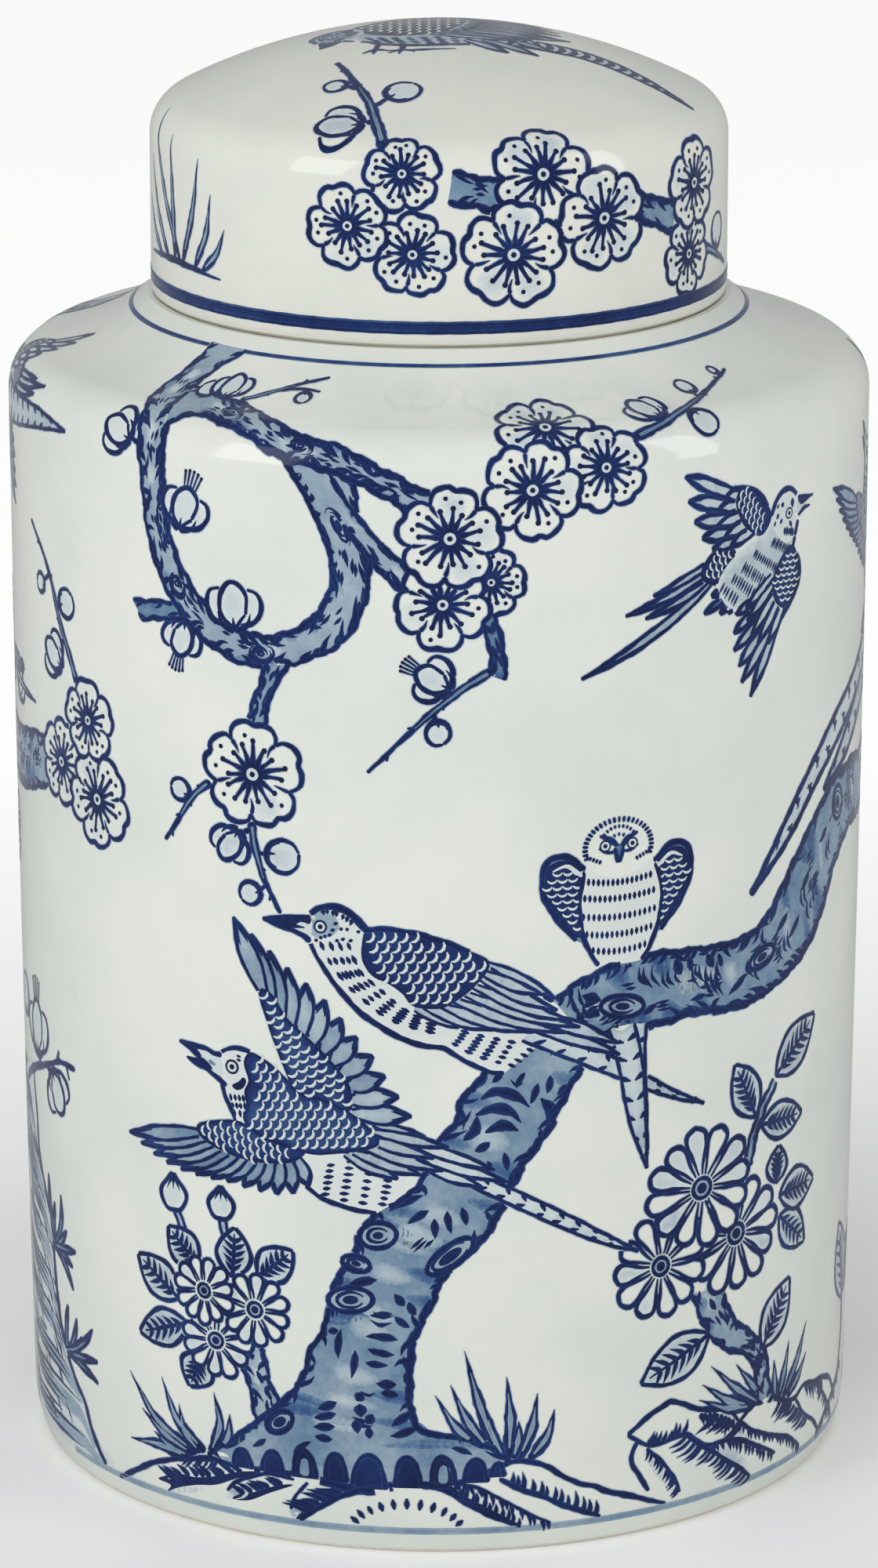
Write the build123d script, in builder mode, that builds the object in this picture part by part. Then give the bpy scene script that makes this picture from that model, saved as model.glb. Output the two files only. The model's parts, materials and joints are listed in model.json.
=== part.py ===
"""Blue and white ginger jar with a cap lid.

Millimetres, +Z up, origin at the centre of the foot ring's resting face.
The jar and the lid are two fired porcelain bodies. Each carries coats of
clear glaze, which stop short of the surfaces that touch: the foot ring, the
seat on the shoulder, the neck and the lid's rim.
"""

import os
from build123d import *

os.makedirs("parts", exist_ok=True)

# Glaze coats
outer_glaze = 0.4
inner_glaze = 0.35
axis_overlap = 5.0

# Jar body: foot and wall
foot_radius = 96.2
foot_edge = 0.8
foot_top_radius = 98.6
foot_top_height = 12.0
belly_radius = 100.25
belly_height = 135.0
wall_thickness = 5.6

# Jar body: shoulder, and the raised seat that carries the lid
shoulder_radius = 101.0
shoulder_height = 257.8
shoulder_curve = 10.4
shoulder_sweep = 78.7
seat_radius = 68.4
seat_height = 279.8

# Jar body: neck collar, hidden under the lid
neck_radius = 61.0
neck_bore_radius = 56.0
neck_height = 303.0
neck_lip = 2.2
neck_root = 1.5

# Jar body: inside
floor_height = 11.0
floor_curve = 12.0
cavity_shoulder_height = 262.0
cavity_neck_height = 272.5
cavity_shoulder_curve = 8.0
cavity_neck_curve = 4.0

# Jar body: recess under the base
recess_radius = 89.0
recess_flare = 1.0
recess_depth = 4.0
recess_curve = 2.0

# Where the jar's glaze coats stop
foot_bare_height = 5.0
seat_bare_radius = 69.0
lip_bare_depth = 3.0
recess_bare_depth = 0.9

# Lid: cap that fits over the neck
lid_gap = 0.3
lid_bottom = seat_height + lid_gap
lid_radius = 67.2
lid_rim_radius = 66.4
lid_rim_height = 2.2
lid_corner_height = 317.5
lid_corner_curve = 10.4
lid_top = 341.6
lid_thickness = 4.6
lid_rim_inner_edge = 1.2
lid_corner_centre = lid_radius - lid_corner_curve
lid_rise = lid_top - lid_corner_height
lid_dome_curve = (lid_corner_centre**2 + lid_rise**2 - lid_corner_curve**2) / (
    2 * (lid_rise - lid_corner_curve)
)
lid_dome_centre = lid_top - lid_dome_curve

# Where the lid's glaze coats stop
lid_bare_height = 1.7
lid_inner_bare_height = 10.0


# Outline of the jar from the foot to the seat, to the right of the axis
with BuildSketch() as jar_outline:
    with BuildLine():
        base = Line((0, 0), (foot_radius, 0))
        foot = TangentArc(
            (foot_top_radius, foot_top_height), base @ 1, tangent=(0, -1)
        )
        wall = ThreePointArc(
            foot @ 0,
            (belly_radius, belly_height),
            (shoulder_radius, shoulder_height),
        )
        shoulder = CenterArc(
            (shoulder_radius - shoulder_curve, shoulder_height),
            shoulder_curve,
            0,
            shoulder_sweep,
        )
        rise = TangentArc(
            shoulder @ 1, (seat_radius, seat_height), tangent=shoulder % 1
        )
        seat = Line(rise @ 1, (0, seat_height))
        Line(seat @ 1, base @ 0)
    make_face()
    foot_corner = jar_outline.vertices().sort_by_distance((foot_radius, 0))[0]
    fillet(foot_corner, radius=foot_edge)

# Outline of the space inside the jar, up through the neck
with BuildSketch() as jar_cavity:
    with BuildLine():
        Polyline(
            (-axis_overlap, floor_height),
            (foot_top_radius - wall_thickness, floor_height),
            (shoulder_radius - wall_thickness, cavity_shoulder_height),
            (neck_bore_radius, cavity_neck_height),
            (neck_bore_radius, neck_height + axis_overlap),
            (-axis_overlap, neck_height + axis_overlap),
            close=True,
        )
    make_face()
    cavity_corners = jar_cavity.vertices()
    floor_corner = cavity_corners.sort_by_distance((shoulder_radius, 0))[0]
    fillet(floor_corner, radius=floor_curve)
    cavity_corners = jar_cavity.vertices()
    shoulder_corner = cavity_corners.sort_by_distance(
        (shoulder_radius, cavity_shoulder_height)
    )[0]
    fillet(shoulder_corner, radius=cavity_shoulder_curve)
    cavity_corners = jar_cavity.vertices()
    neck_corner = cavity_corners.sort_by_distance(
        (neck_bore_radius, cavity_neck_height)
    )[0]
    fillet(neck_corner, radius=cavity_neck_curve)

# Outline of the shallow recess under the base
with BuildSketch() as base_recess:
    with BuildLine():
        Polyline(
            (-axis_overlap, -recess_depth),
            (recess_radius + recess_flare, -recess_depth),
            (recess_radius + recess_flare, 0),
            (recess_radius, recess_depth),
            (-axis_overlap, recess_depth),
            close=True,
        )
    make_face()
    recess_corner = base_recess.vertices().sort_by_distance(
        (recess_radius, recess_depth)
    )[0]
    fillet(recess_corner, radius=recess_curve)

# Outline of the lid, to the right of the axis
with BuildSketch() as lid_outline:
    with BuildLine():
        rim = Line((0, lid_bottom), (lid_rim_radius, lid_bottom))
        rim_edge = TangentArc(
            (lid_radius, lid_bottom + lid_rim_height), rim @ 1, tangent=(0, -1)
        )
        side = Line(rim_edge @ 0, (lid_radius, lid_corner_height))
        corner = CenterArc(
            (lid_corner_centre, lid_corner_height),
            lid_corner_curve,
            0,
            Vector(lid_corner_centre, lid_corner_height - lid_dome_centre).get_angle(
                Vector(1, 0)
            ),
        )
        dome = TangentArc(corner @ 1, (0, lid_top), tangent=corner % 1)
        Line(dome @ 1, rim @ 0)
    make_face()

# Outline of the space inside the lid
with BuildSketch() as lid_cavity:
    with BuildLine():
        inner_side = Line(
            (lid_radius - lid_thickness, lid_bottom - axis_overlap),
            (lid_radius - lid_thickness, lid_corner_height),
        )
        inner_corner = CenterArc(
            (lid_corner_centre, lid_corner_height),
            lid_corner_curve - lid_thickness,
            0,
            Vector(lid_corner_centre, lid_corner_height - lid_dome_centre).get_angle(
                Vector(1, 0)
            ),
        )
        inner_dome = TangentArc(
            inner_corner @ 1, (0, lid_top - lid_thickness), tangent=inner_corner % 1
        )
        inner_crown = Line(inner_dome @ 1, (-axis_overlap, lid_top - lid_thickness))
        Line(inner_crown @ 1, (-axis_overlap, lid_bottom - axis_overlap))
        Line((-axis_overlap, lid_bottom - axis_overlap), inner_side @ 0)
    make_face()

# The same outlines moved out or in by one glaze coat
with BuildSketch() as jar_coat_outline:
    add(jar_outline.sketch)
    offset(amount=outer_glaze)

with BuildSketch() as jar_cavity_core:
    add(jar_cavity.sketch)
    offset(amount=-inner_glaze)

with BuildSketch() as base_recess_core:
    add(base_recess.sketch)
    offset(amount=-inner_glaze)

with BuildSketch() as lid_coat_outline:
    add(lid_outline.sketch)
    offset(amount=outer_glaze)

with BuildSketch() as lid_cavity_core:
    add(lid_cavity.sketch)
    offset(amount=-inner_glaze)


# Jar: foot ring, wall, shoulder, seat and neck collar in one thrown body
with BuildPart() as jar_body:
    with BuildSketch(Plane.XZ) as jar_section:
        add(jar_outline.sketch)
        with Locations((neck_radius, seat_height)):
            Rectangle(
                neck_radius,
                neck_height - seat_height,
                align=(Align.MAX, Align.MIN),
            )
        lip_corner = jar_section.vertices().sort_by_distance(
            (neck_radius, neck_height)
        )[0]
        fillet(lip_corner, radius=neck_lip)
        root_corner = jar_section.vertices().sort_by_distance(
            (neck_radius, seat_height)
        )[0]
        fillet(root_corner, radius=neck_root)
        add(jar_cavity.sketch, mode=Mode.SUBTRACT)
        inner_lip_corner = jar_section.vertices().sort_by_distance(
            (neck_bore_radius, neck_height)
        )[0]
        fillet(inner_lip_corner, radius=neck_lip)
        add(base_recess.sketch, mode=Mode.SUBTRACT)
    revolve(axis=Axis.Z)
jar_body.part.label = "jar_body"
export_step(jar_body.part, "parts/jar_body.step")

# Glaze on the outside of the jar, from above the foot ring to the seat
with BuildPart() as jar_outer_glaze:
    with BuildSketch(Plane.XZ):
        add(jar_coat_outline.sketch)
        add(jar_outline.sketch, mode=Mode.SUBTRACT)
        with Locations((seat_bare_radius, foot_bare_height)):
            Rectangle(
                shoulder_radius,
                seat_height,
                align=(Align.MIN, Align.MIN),
                mode=Mode.INTERSECT,
            )
    revolve(axis=Axis.Z)
jar_outer_glaze.part.label = "jar_outer_glaze"
export_step(jar_outer_glaze.part, "parts/jar_outer_glaze.step")

# Glaze on the inside of the jar, up to just below the lip
with BuildPart() as jar_inner_glaze:
    with BuildSketch(Plane.XZ):
        add(jar_cavity.sketch)
        add(jar_cavity_core.sketch, mode=Mode.SUBTRACT)
        Rectangle(
            shoulder_radius,
            neck_height - lip_bare_depth,
            align=(Align.MIN, Align.MIN),
            mode=Mode.INTERSECT,
        )
    revolve(axis=Axis.Z)
jar_inner_glaze.part.label = "jar_inner_glaze"
export_step(jar_inner_glaze.part, "parts/jar_inner_glaze.step")

# Glaze in the recess under the base, inside the bare foot ring
with BuildPart() as jar_base_glaze:
    with BuildSketch(Plane.XZ):
        add(base_recess.sketch)
        add(base_recess_core.sketch, mode=Mode.SUBTRACT)
        with Locations((0, recess_bare_depth)):
            Rectangle(
                shoulder_radius,
                recess_depth,
                align=(Align.MIN, Align.MIN),
                mode=Mode.INTERSECT,
            )
    revolve(axis=Axis.Z)
jar_base_glaze.part.label = "jar_base_glaze"
export_step(jar_base_glaze.part, "parts/jar_base_glaze.step")

# Lid: hollow cap with a straight side, a round corner and a low dome
with BuildPart() as lid:
    with BuildSketch(Plane.XZ) as lid_section:
        add(lid_outline.sketch)
        add(lid_cavity.sketch, mode=Mode.SUBTRACT)
        rim_corner = lid_section.vertices().sort_by_distance(
            (lid_radius - lid_thickness, lid_bottom)
        )[0]
        fillet(rim_corner, radius=lid_rim_inner_edge)
    revolve(axis=Axis.Z)
lid.part.label = "lid"
export_step(lid.part, "parts/lid.step")

# Glaze on the outside of the lid, down to the bare rim
with BuildPart() as lid_outer_glaze:
    with BuildSketch(Plane.XZ):
        add(lid_coat_outline.sketch)
        add(lid_outline.sketch, mode=Mode.SUBTRACT)
        with Locations((0, lid_bottom + lid_bare_height)):
            Rectangle(
                shoulder_radius,
                lid_top,
                align=(Align.MIN, Align.MIN),
                mode=Mode.INTERSECT,
            )
    revolve(axis=Axis.Z)
lid_outer_glaze.part.label = "lid_outer_glaze"
export_step(lid_outer_glaze.part, "parts/lid_outer_glaze.step")

# Glaze on the inside of the lid, above the part that passes over the neck
with BuildPart() as lid_inner_glaze:
    with BuildSketch(Plane.XZ):
        add(lid_cavity.sketch)
        add(lid_cavity_core.sketch, mode=Mode.SUBTRACT)
        with Locations((0, lid_bottom + lid_inner_bare_height)):
            Rectangle(
                shoulder_radius,
                lid_top,
                align=(Align.MIN, Align.MIN),
                mode=Mode.INTERSECT,
            )
    revolve(axis=Axis.Z)
lid_inner_glaze.part.label = "lid_inner_glaze"
export_step(lid_inner_glaze.part, "parts/lid_inner_glaze.step")
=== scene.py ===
"""Blue and white porcelain ginger jar with a cap lid, painted with birds and plum.

The painting is drawn on flat charts, in millimetres: u runs round the piece and
v climbs along its glazed profile from the foot or the rim. Brush strokes and
washes are thin meshes that follow the glaze. A point of a chart is a complex
number, u + vj. What lies in front is drawn first, and its cover cuts away
whatever is drawn behind it later.
"""

import cmath
import json
import math
import random

import bpy
import numpy as np
import mathutils
from mathutils.geometry import delaunay_2d_cdt
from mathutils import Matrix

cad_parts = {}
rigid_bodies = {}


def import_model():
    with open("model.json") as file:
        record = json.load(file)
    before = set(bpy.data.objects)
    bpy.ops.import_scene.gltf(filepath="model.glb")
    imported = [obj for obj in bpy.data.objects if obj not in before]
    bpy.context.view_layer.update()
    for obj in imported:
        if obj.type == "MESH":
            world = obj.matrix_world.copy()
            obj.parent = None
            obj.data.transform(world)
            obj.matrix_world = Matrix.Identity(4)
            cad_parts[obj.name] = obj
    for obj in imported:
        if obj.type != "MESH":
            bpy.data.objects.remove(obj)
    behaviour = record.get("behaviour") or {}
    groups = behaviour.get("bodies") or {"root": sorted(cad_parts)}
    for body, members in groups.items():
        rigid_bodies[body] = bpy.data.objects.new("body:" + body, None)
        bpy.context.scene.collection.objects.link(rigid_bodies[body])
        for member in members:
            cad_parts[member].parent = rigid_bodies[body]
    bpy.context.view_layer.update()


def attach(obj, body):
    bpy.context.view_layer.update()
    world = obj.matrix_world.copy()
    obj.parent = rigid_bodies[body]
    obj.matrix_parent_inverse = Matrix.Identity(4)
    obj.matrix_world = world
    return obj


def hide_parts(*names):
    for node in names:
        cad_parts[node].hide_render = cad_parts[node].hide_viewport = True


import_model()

MM = 0.001
GLAZE, INNER_GLAZE = 0.4, 0.35
SEGMENTS = 480                       # round a turned piece
CREASE = 30                          # degrees of turn that make a profile's corner sharp
ON_AXIS = 1e-6
JAR_CHART, LID_CHART = 101.0, 67.6   # radius that u is measured on
SHOULDER = 26                        # the glazed side curves in this far below its top


# ---------------------------------------------------------------- profiles
def arc(centre, radius, start, stop, step=4.0):
    """Points (r, z) on a round arc, angles in degrees."""
    n = max(3, int(abs(stop - start) / step) + 2)
    a = np.radians(np.linspace(start, stop, n))
    return np.c_[centre[0] + radius * np.cos(a), centre[1] + radius * np.sin(a)]


def arc_from(start, stop, heading, n):
    """Arc from one point to another that leaves the first along a heading."""
    p, q = np.array(start, float), np.array(stop, float)
    t = np.array(heading, float) / np.hypot(*heading)
    normal = np.array([-t[1], t[0]])
    bend = 2 * np.dot(q - p, normal) / np.dot(q - p, q - p)
    c = p + normal / bend
    a0, a1 = np.arctan2(*(p - c)[::-1]), np.arctan2(*(q - c)[::-1])
    a1 += 2 * np.pi * (np.sign(bend) * (a1 - a0) < 0) * np.sign(bend)
    a = np.linspace(a0, a1, n)
    return c + abs(1 / bend) * np.c_[np.cos(a), np.sin(a)]


def arc_through(p, q, r, n):
    """Arc through three points, from the first to the last."""
    rows = 2 * np.array([[q[0] - p[0], q[1] - p[1]], [r[0] - p[0], r[1] - p[1]]])
    sums = [q[0] ** 2 + q[1] ** 2 - p[0] ** 2 - p[1] ** 2, r[0] ** 2 + r[1] ** 2 - p[0] ** 2 - p[1] ** 2]
    c = np.linalg.solve(rows, sums)
    a = np.unwrap([np.arctan2(t[1] - c[1], t[0] - c[0]) for t in (p, q, r)])
    a = np.linspace(a[0], a[2], n)
    return c + np.hypot(*(np.array(p) - c)) * np.c_[np.cos(a), np.sin(a)]


def rounded(corners):
    """Straight runs with rounded corners. A corner is (r, z, radius)."""
    out = []
    for i, (x, y, radius) in enumerate(corners):
        here = np.array([x, y], float)
        if not radius:
            out.append(here[None])
            continue
        back = np.array(corners[i - 1][:2]) - here
        ahead = np.array(corners[i + 1][:2]) - here
        back, ahead = back / np.hypot(*back), ahead / np.hypot(*ahead)
        half = np.arccos(np.clip(np.dot(back, ahead), -1, 1)) / 2
        reach = radius / np.tan(half)
        out.append(arc_from(here + back * reach, here + ahead * reach, -back, 10))
    return np.vstack(out)


def outward(path):
    """Unit vectors to the right of a path."""
    d = np.gradient(path, axis=0)
    d /= np.hypot(d[:, 0], d[:, 1])[:, None]
    return np.c_[d[:, 1], -d[:, 0]]


def offset(path, by):
    """The path moved to its right by a distance."""
    return path + by * outward(path)


def refine(path, longest):
    """Splits long runs of a path."""
    out = [path[:1]]
    for a, b in zip(path[:-1], path[1:]):
        n = max(1, int(np.ceil(np.hypot(*(b - a)) / longest)))
        out.append(a + (b - a) * np.linspace(0, 1, n + 1)[1:, None])
    return np.vstack(out)


def cut(path, axis, low):
    """The part of a path at or above a height (axis 1) or radius (axis 0)."""
    keep = path[:, axis] >= low
    i = int(np.argmax(keep)) if keep[-1] else int(len(keep) - np.argmax(keep[::-1]) - 1)
    j = i - 1 if keep[-1] else i + 1
    if not 0 <= j < len(path):
        return path[keep]
    t = (low - path[j, axis]) / (path[i, axis] - path[j, axis])
    end = (path[j] + (path[i] - path[j]) * t)[None]
    return np.vstack([end, path[keep]]) if keep[-1] else np.vstack([path[keep], end])


SHOULDER_SWEEP = 78.7
foot_curve = arc_from((98.6, 12), (96.2, 0), (0, -1), 14)[::-1]
wall_curve = arc_through((98.6, 12), (100.25, 135), (101.0, 257.8), 32)
shoulder_curve = arc((90.6, 257.8), 10.4, 0, SHOULDER_SWEEP, 3.0)
rise_curve = arc_from(shoulder_curve[-1], (68.4, 279.8), (-np.sin(np.radians(SHOULDER_SWEEP)),
    np.cos(np.radians(SHOULDER_SWEEP))), 18)
jar_side = np.vstack([foot_curve, wall_curve[1:], shoulder_curve[1:], rise_curve[1:]])

LID_BOTTOM, LID_RADIUS, LID_CORNER, LID_CORNER_Z, LID_TOP, LID_WALL = 280.1, 67.2, 10.4, 317.5, 341.6, 4.6
lid_axis = LID_RADIUS - LID_CORNER
lid_rise = LID_TOP - LID_CORNER_Z
dome_radius = (lid_axis**2 + lid_rise**2 - LID_CORNER**2) / (2 * (lid_rise - LID_CORNER))
dome_centre = LID_TOP - dome_radius
corner_sweep = math.degrees(math.atan2(LID_CORNER_Z - dome_centre, lid_axis))


def lid_side(inset):
    """Lid profile from the side up to the middle of the dome."""
    corner = arc((lid_axis, LID_CORNER_Z), LID_CORNER - inset, 0, corner_sweep, 2.0)
    dome = arc((0, dome_centre), dome_radius - inset, corner_sweep, 90, 0.5)
    return np.vstack([corner, dome[1:]])


rim_curve = arc_from((LID_RADIUS, LID_BOTTOM + 2.2), (66.4, LID_BOTTOM), (0, -1), 8)[::-1]
lid_outside = refine(np.vstack([rim_curve, lid_side(0)]), 4)


def arc_length(path):
    return np.r_[0, np.cumsum(np.hypot(*np.diff(path, axis=0).T))]


class Surface:
    """Glazed surface of revolution that a chart is laid on."""

    def __init__(self, side, radius):
        self.path = offset(side, GLAZE)
        self.v = arc_length(self.path)
        self.radius = radius
        self.normal = outward(self.path)
        self.curved = self.v[np.argmax(self.path[:, 1] > self.path[-1, 1] - SHOULDER)]

    def around(self, z, lift):
        """Chart points to space, with their normals."""
        a = z.real / self.radius
        r, h = (np.interp(z.imag, self.v, self.path[:, k]) for k in (0, 1))
        nr, nh = (np.interp(z.imag, self.v, self.normal[:, k]) for k in (0, 1))
        r, h = r + nr * lift, h + nh * lift
        out = np.c_[r * np.sin(a), -r * np.cos(a), h] * MM
        return out, np.c_[nr * np.sin(a), -nr * np.cos(a), nh]

    def above(self, z, lift):
        """Points of a flat chart seen from above to space, with their normals."""
        top = self.path[::-1]
        r = abs(z)
        a = np.angle(z)
        h = np.interp(r, top[:, 0], top[:, 1])
        nr, nh = (np.interp(r, top[:, 0], self.normal[::-1, k]) for k in (0, 1))
        r, h = r + nr * lift, h + nh * lift
        return np.c_[r * np.cos(a), r * np.sin(a), h] * MM, np.c_[nr * np.cos(a), nr * np.sin(a), nh]


jar_surface = Surface(jar_side, JAR_CHART)
lid_surface = Surface(lid_outside, LID_CHART)


# ---------------------------------------------------------------- meshes
def new_piece(name, co, faces, body, material, normals=None, sharp=None):
    mesh = bpy.data.meshes.new(name)
    mesh.from_pydata(co, [], faces)
    mesh.materials.append(material)
    mesh.shade_smooth()
    piece = bpy.data.objects.new(name, mesh)
    bpy.context.scene.collection.objects.link(piece)
    if normals is not None:
        mesh.normals_split_custom_set_from_vertices(normals)
    if sharp is not None:
        marks = mesh.attributes.new("sharp_edge", "BOOLEAN", "EDGE")
        ends = np.array([e.vertices[:] for e in mesh.edges])
        marks.data.foreach_set("value", sharp(ends[:, 0], ends[:, 1]))
    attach(piece, body)
    return piece


def revolve(name, loop, body, material):
    """Closed solid of revolution. The loop is open where it meets the axis."""
    r, z = loop[:, 0], loop[:, 1]
    axis, rings = np.where(r < ON_AXIS)[0], np.where(r >= ON_AXIS)[0]
    a = np.arange(SEGMENTS) * 2 * np.pi / SEGMENTS
    co = np.vstack([np.c_[r[i] * np.cos(a), r[i] * np.sin(a), np.full(SEGMENTS, z[i])] for i in rings]
        + [[0, 0, z[i]] for i in axis])
    place = {i: k * SEGMENTS for k, i in enumerate(rings)}
    tips = {i: k + len(rings) * SEGMENTS for k, i in enumerate(axis)}
    faces = []
    n = len(r)
    here = np.arange(SEGMENTS)
    there = (here + 1) % SEGMENTS
    for i in range(n):
        j = (i + 1) % n
        if i in tips and j in tips:
            continue
        if i in tips:
            faces += np.c_[np.full(SEGMENTS, tips[i]), place[j] + there, place[j] + here].tolist()
        elif j in tips:
            faces += np.c_[place[i] + here, place[i] + there, np.full(SEGMENTS, tips[j])].tolist()
        else:
            faces += np.c_[place[i] + here, place[i] + there, place[j] + there, place[j] + here].tolist()
    ahead = np.roll(loop, -1, 0) - loop
    behind = loop - np.roll(loop, 1, 0)
    turn = np.degrees(np.arccos(np.clip((ahead * behind).sum(1) / (np.hypot(*ahead.T) * np.hypot(*behind.T)
        + 1e-12), -1, 1)))
    creased = np.zeros(len(co), bool)
    for i in rings:
        creased[place[i]:place[i] + SEGMENTS] = turn[i] > CREASE
    row = np.arange(len(co)) // SEGMENTS
    return new_piece(name, co * MM, faces, body, material, sharp=lambda p, q: creased[p] & creased[q]
        & (row[p] == row[q]))


# ---------------------------------------------------------------- materials
def material(name, **sockets):
    """New Principled material, with values set on the shader's own sockets."""
    m = bpy.data.materials.new(name)
    m.use_nodes = True
    shader = m.node_tree.nodes["Principled BSDF"]
    for key, value in sockets.items():
        shader.inputs[key.replace("_", " ")].default_value = value
    return m, m.node_tree, shader


def node(tree, kind, inputs=None, **props):
    n = tree.nodes.new(kind)
    for key, value in props.items():
        setattr(n, key, value)
    for key, value in (inputs or {}).items():
        if isinstance(value, bpy.types.NodeSocket):
            tree.links.new(value, n.inputs[key])
        else:
            n.inputs[key].default_value = value
    return n


def noise(tree, scale, detail=3.0, rough=0.5, stretch=None):
    where = node(tree, "ShaderNodeTexCoord").outputs["Object"]
    if stretch:
        where = node(tree, "ShaderNodeMapping", {"Vector": where, "Scale": stretch}).outputs[0]
    return node(tree, "ShaderNodeTexNoise", {"Vector": where, "Scale": scale, "Detail": detail,
        "Roughness": rough}).outputs["Fac"]


def ramp(tree, fac, stops):
    n = node(tree, "ShaderNodeValToRGB", {"Fac": fac})
    while len(n.color_ramp.elements) < len(stops):
        n.color_ramp.elements.new(0.5)
    for e, (at, colour) in zip(n.color_ramp.elements, stops):
        e.position = at
        e.color = (*colour, 1)
    return n.outputs["Color"]


def srgb(r, g, b):
    """Linear colour from 8-bit sRGB values."""
    return tuple(c / 12.92 if c <= 0.04045 else ((c + 0.055) / 1.055) ** 2.4
        for c in (r / 255, g / 255, b / 255))


def grey(value):
    return (value, value, value)


def blend(tree, fac, one, two):
    n = node(tree, "ShaderNodeMix", {"Factor": fac}, data_type="RGBA")
    for key, value in (("A", one), ("B", two)):
        socket = [s for s in n.inputs if s.name == key and s.type == "RGBA"][0]
        if isinstance(value, bpy.types.NodeSocket):
            tree.links.new(value, socket)
        else:
            socket.default_value = (*value, 1)
    return [s for s in n.outputs if s.type == "RGBA"][0]


def bump(tree, height, strength, distance):
    return node(tree, "ShaderNodeBump", {"Height": height, "Strength": strength,
        "Distance": distance}).outputs[0]


def math_node(tree, kind, *inputs, clamp=False):
    return node(tree, "ShaderNodeMath", dict(enumerate(inputs)), operation=kind, use_clamp=clamp).outputs[0]


def spread(tree, value, low, high, start=0.3, stop=0.7):
    """A noise value stretched over a range."""
    return node(tree, "ShaderNodeMapRange", {"Value": value, "From Min": start, "From Max": stop,
        "To Min": low, "To Max": high}).outputs[0]


# noises, as scale, detail and roughness
CLOUDS, SKIN, RIPPLE, GLOSS = (26, 4, 0.55), (900, 2, 0.5), (42, 2, 0.4), (60, 3, 0.6)
BODY, FLUSH, GRAIN = (140, 5, 0.65), (34, 4, 0.6), (1500, 4, 0.7)
POOLS, MOTTLE = (70, 2, 0.5), (500, 3, 0.6)
SPECKS, IRON = 95.0, srgb(120, 112, 96)
WAVE, RIPPLE_DEPTH, GRAIN_DEPTH = 0.35, 0.0006, 0.00025
INK = ((0.0, srgb(224, 229, 223)), (0.15, srgb(199, 210, 213)), (0.3, srgb(150, 170, 184)),
    (0.45, srgb(105, 134, 161)), (0.6, srgb(57, 92, 138)), (0.8, srgb(16, 46, 104)), (1.0, srgb(3, 20, 66)))


def glaze(name, light, shade, wave):
    """Clear glossy glaze over porcelain: clouded tone, fine ripple, a few iron specks."""
    m, tree, shader = material(name, Roughness=0.1, IOR=1.5, Coat_Weight=0.35, Coat_Roughness=0.03)
    colour = ramp(tree, noise(tree, *CLOUDS), ((0.32, shade), (0.62, light)))
    cell = node(tree, "ShaderNodeTexVoronoi", {"Vector": node(tree, "ShaderNodeTexCoord").outputs["Object"],
        "Scale": SPECKS})
    spot = ramp(tree, cell.outputs["Distance"], ((0.0, grey(1.0)), (0.022, grey(0.75)), (0.036, grey(0.0))))
    rare = ramp(tree, node(tree, "ShaderNodeSeparateColor", {"Color": cell.outputs["Color"]}).outputs["Red"],
        ((0.93, grey(0.0)), (0.95, grey(0.5))))
    colour = blend(tree, math_node(tree, "MULTIPLY", spot, rare), colour, IRON)
    tree.links.new(colour, shader.inputs["Base Color"])
    height = math_node(tree, "MULTIPLY_ADD", noise(tree, *SKIN), 0.06, noise(tree, *RIPPLE))
    tree.links.new(bump(tree, height, wave, RIPPLE_DEPTH), shader.inputs["Normal"])
    tree.links.new(spread(tree, noise(tree, *GLOSS), 0.07, 0.13, 0, 1), shader.inputs["Roughness"])
    return m


def bare(name, light, shade, rust):
    """Unglazed fired porcelain: dry, fine grained, with a warm flush."""
    m, tree, shader = material(name, Roughness=0.75, IOR=1.45)
    colour = ramp(tree, noise(tree, *BODY), ((0.3, shade), (0.65, light)))
    flush = ramp(tree, noise(tree, *FLUSH), ((0.52, grey(0.0)), (0.78, grey(0.4))))
    tree.links.new(blend(tree, flush, colour, rust), shader.inputs["Base Color"])
    turning = noise(tree, *GLOSS, (1, 1, 22))
    height = math_node(tree, "MULTIPLY_ADD", turning, 0.8, noise(tree, *GRAIN))
    tree.links.new(bump(tree, height, 0.5, GRAIN_DEPTH), shader.inputs["Normal"])
    return m


def cobalt(name):
    """Cobalt under the glaze: tone from the stroke's own ink, pooled and mottled."""
    m, tree, shader = material(name, Roughness=0.12, IOR=1.5, Specular_IOR_Level=0.3, Coat_Weight=0.12,
        Coat_Roughness=0.03)
    ink = node(tree, "ShaderNodeAttribute", attribute_name="ink").outputs["Fac"]
    pool = spread(tree, noise(tree, *POOLS), -0.08, 0.07)
    fine = spread(tree, noise(tree, *MOTTLE), -0.04, 0.04)
    reach = math_node(tree, "MULTIPLY", ink, 2.2, clamp=True)
    tone = math_node(tree, "MULTIPLY_ADD", math_node(tree, "ADD", pool, fine), reach, ink)
    tree.links.new(ramp(tree, tone, INK), shader.inputs["Base Color"])
    tree.links.new(bump(tree, noise(tree, *RIPPLE), WAVE, RIPPLE_DEPTH), shader.inputs["Normal"])
    return m


white_glaze = glaze("outer_glaze", srgb(228, 232, 224), srgb(218, 224, 218), WAVE)
lid_glaze = glaze("lid_glaze", srgb(230, 231, 222), srgb(221, 224, 216), WAVE)
inner_glaze = glaze("inner_glaze", srgb(222, 226, 218), srgb(206, 213, 208), 0.6)
biscuit = bare("biscuit_porcelain", srgb(232, 229, 216), srgb(219, 214, 199), srgb(214, 194, 164))
paint = cobalt("cobalt_painting")


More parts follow.
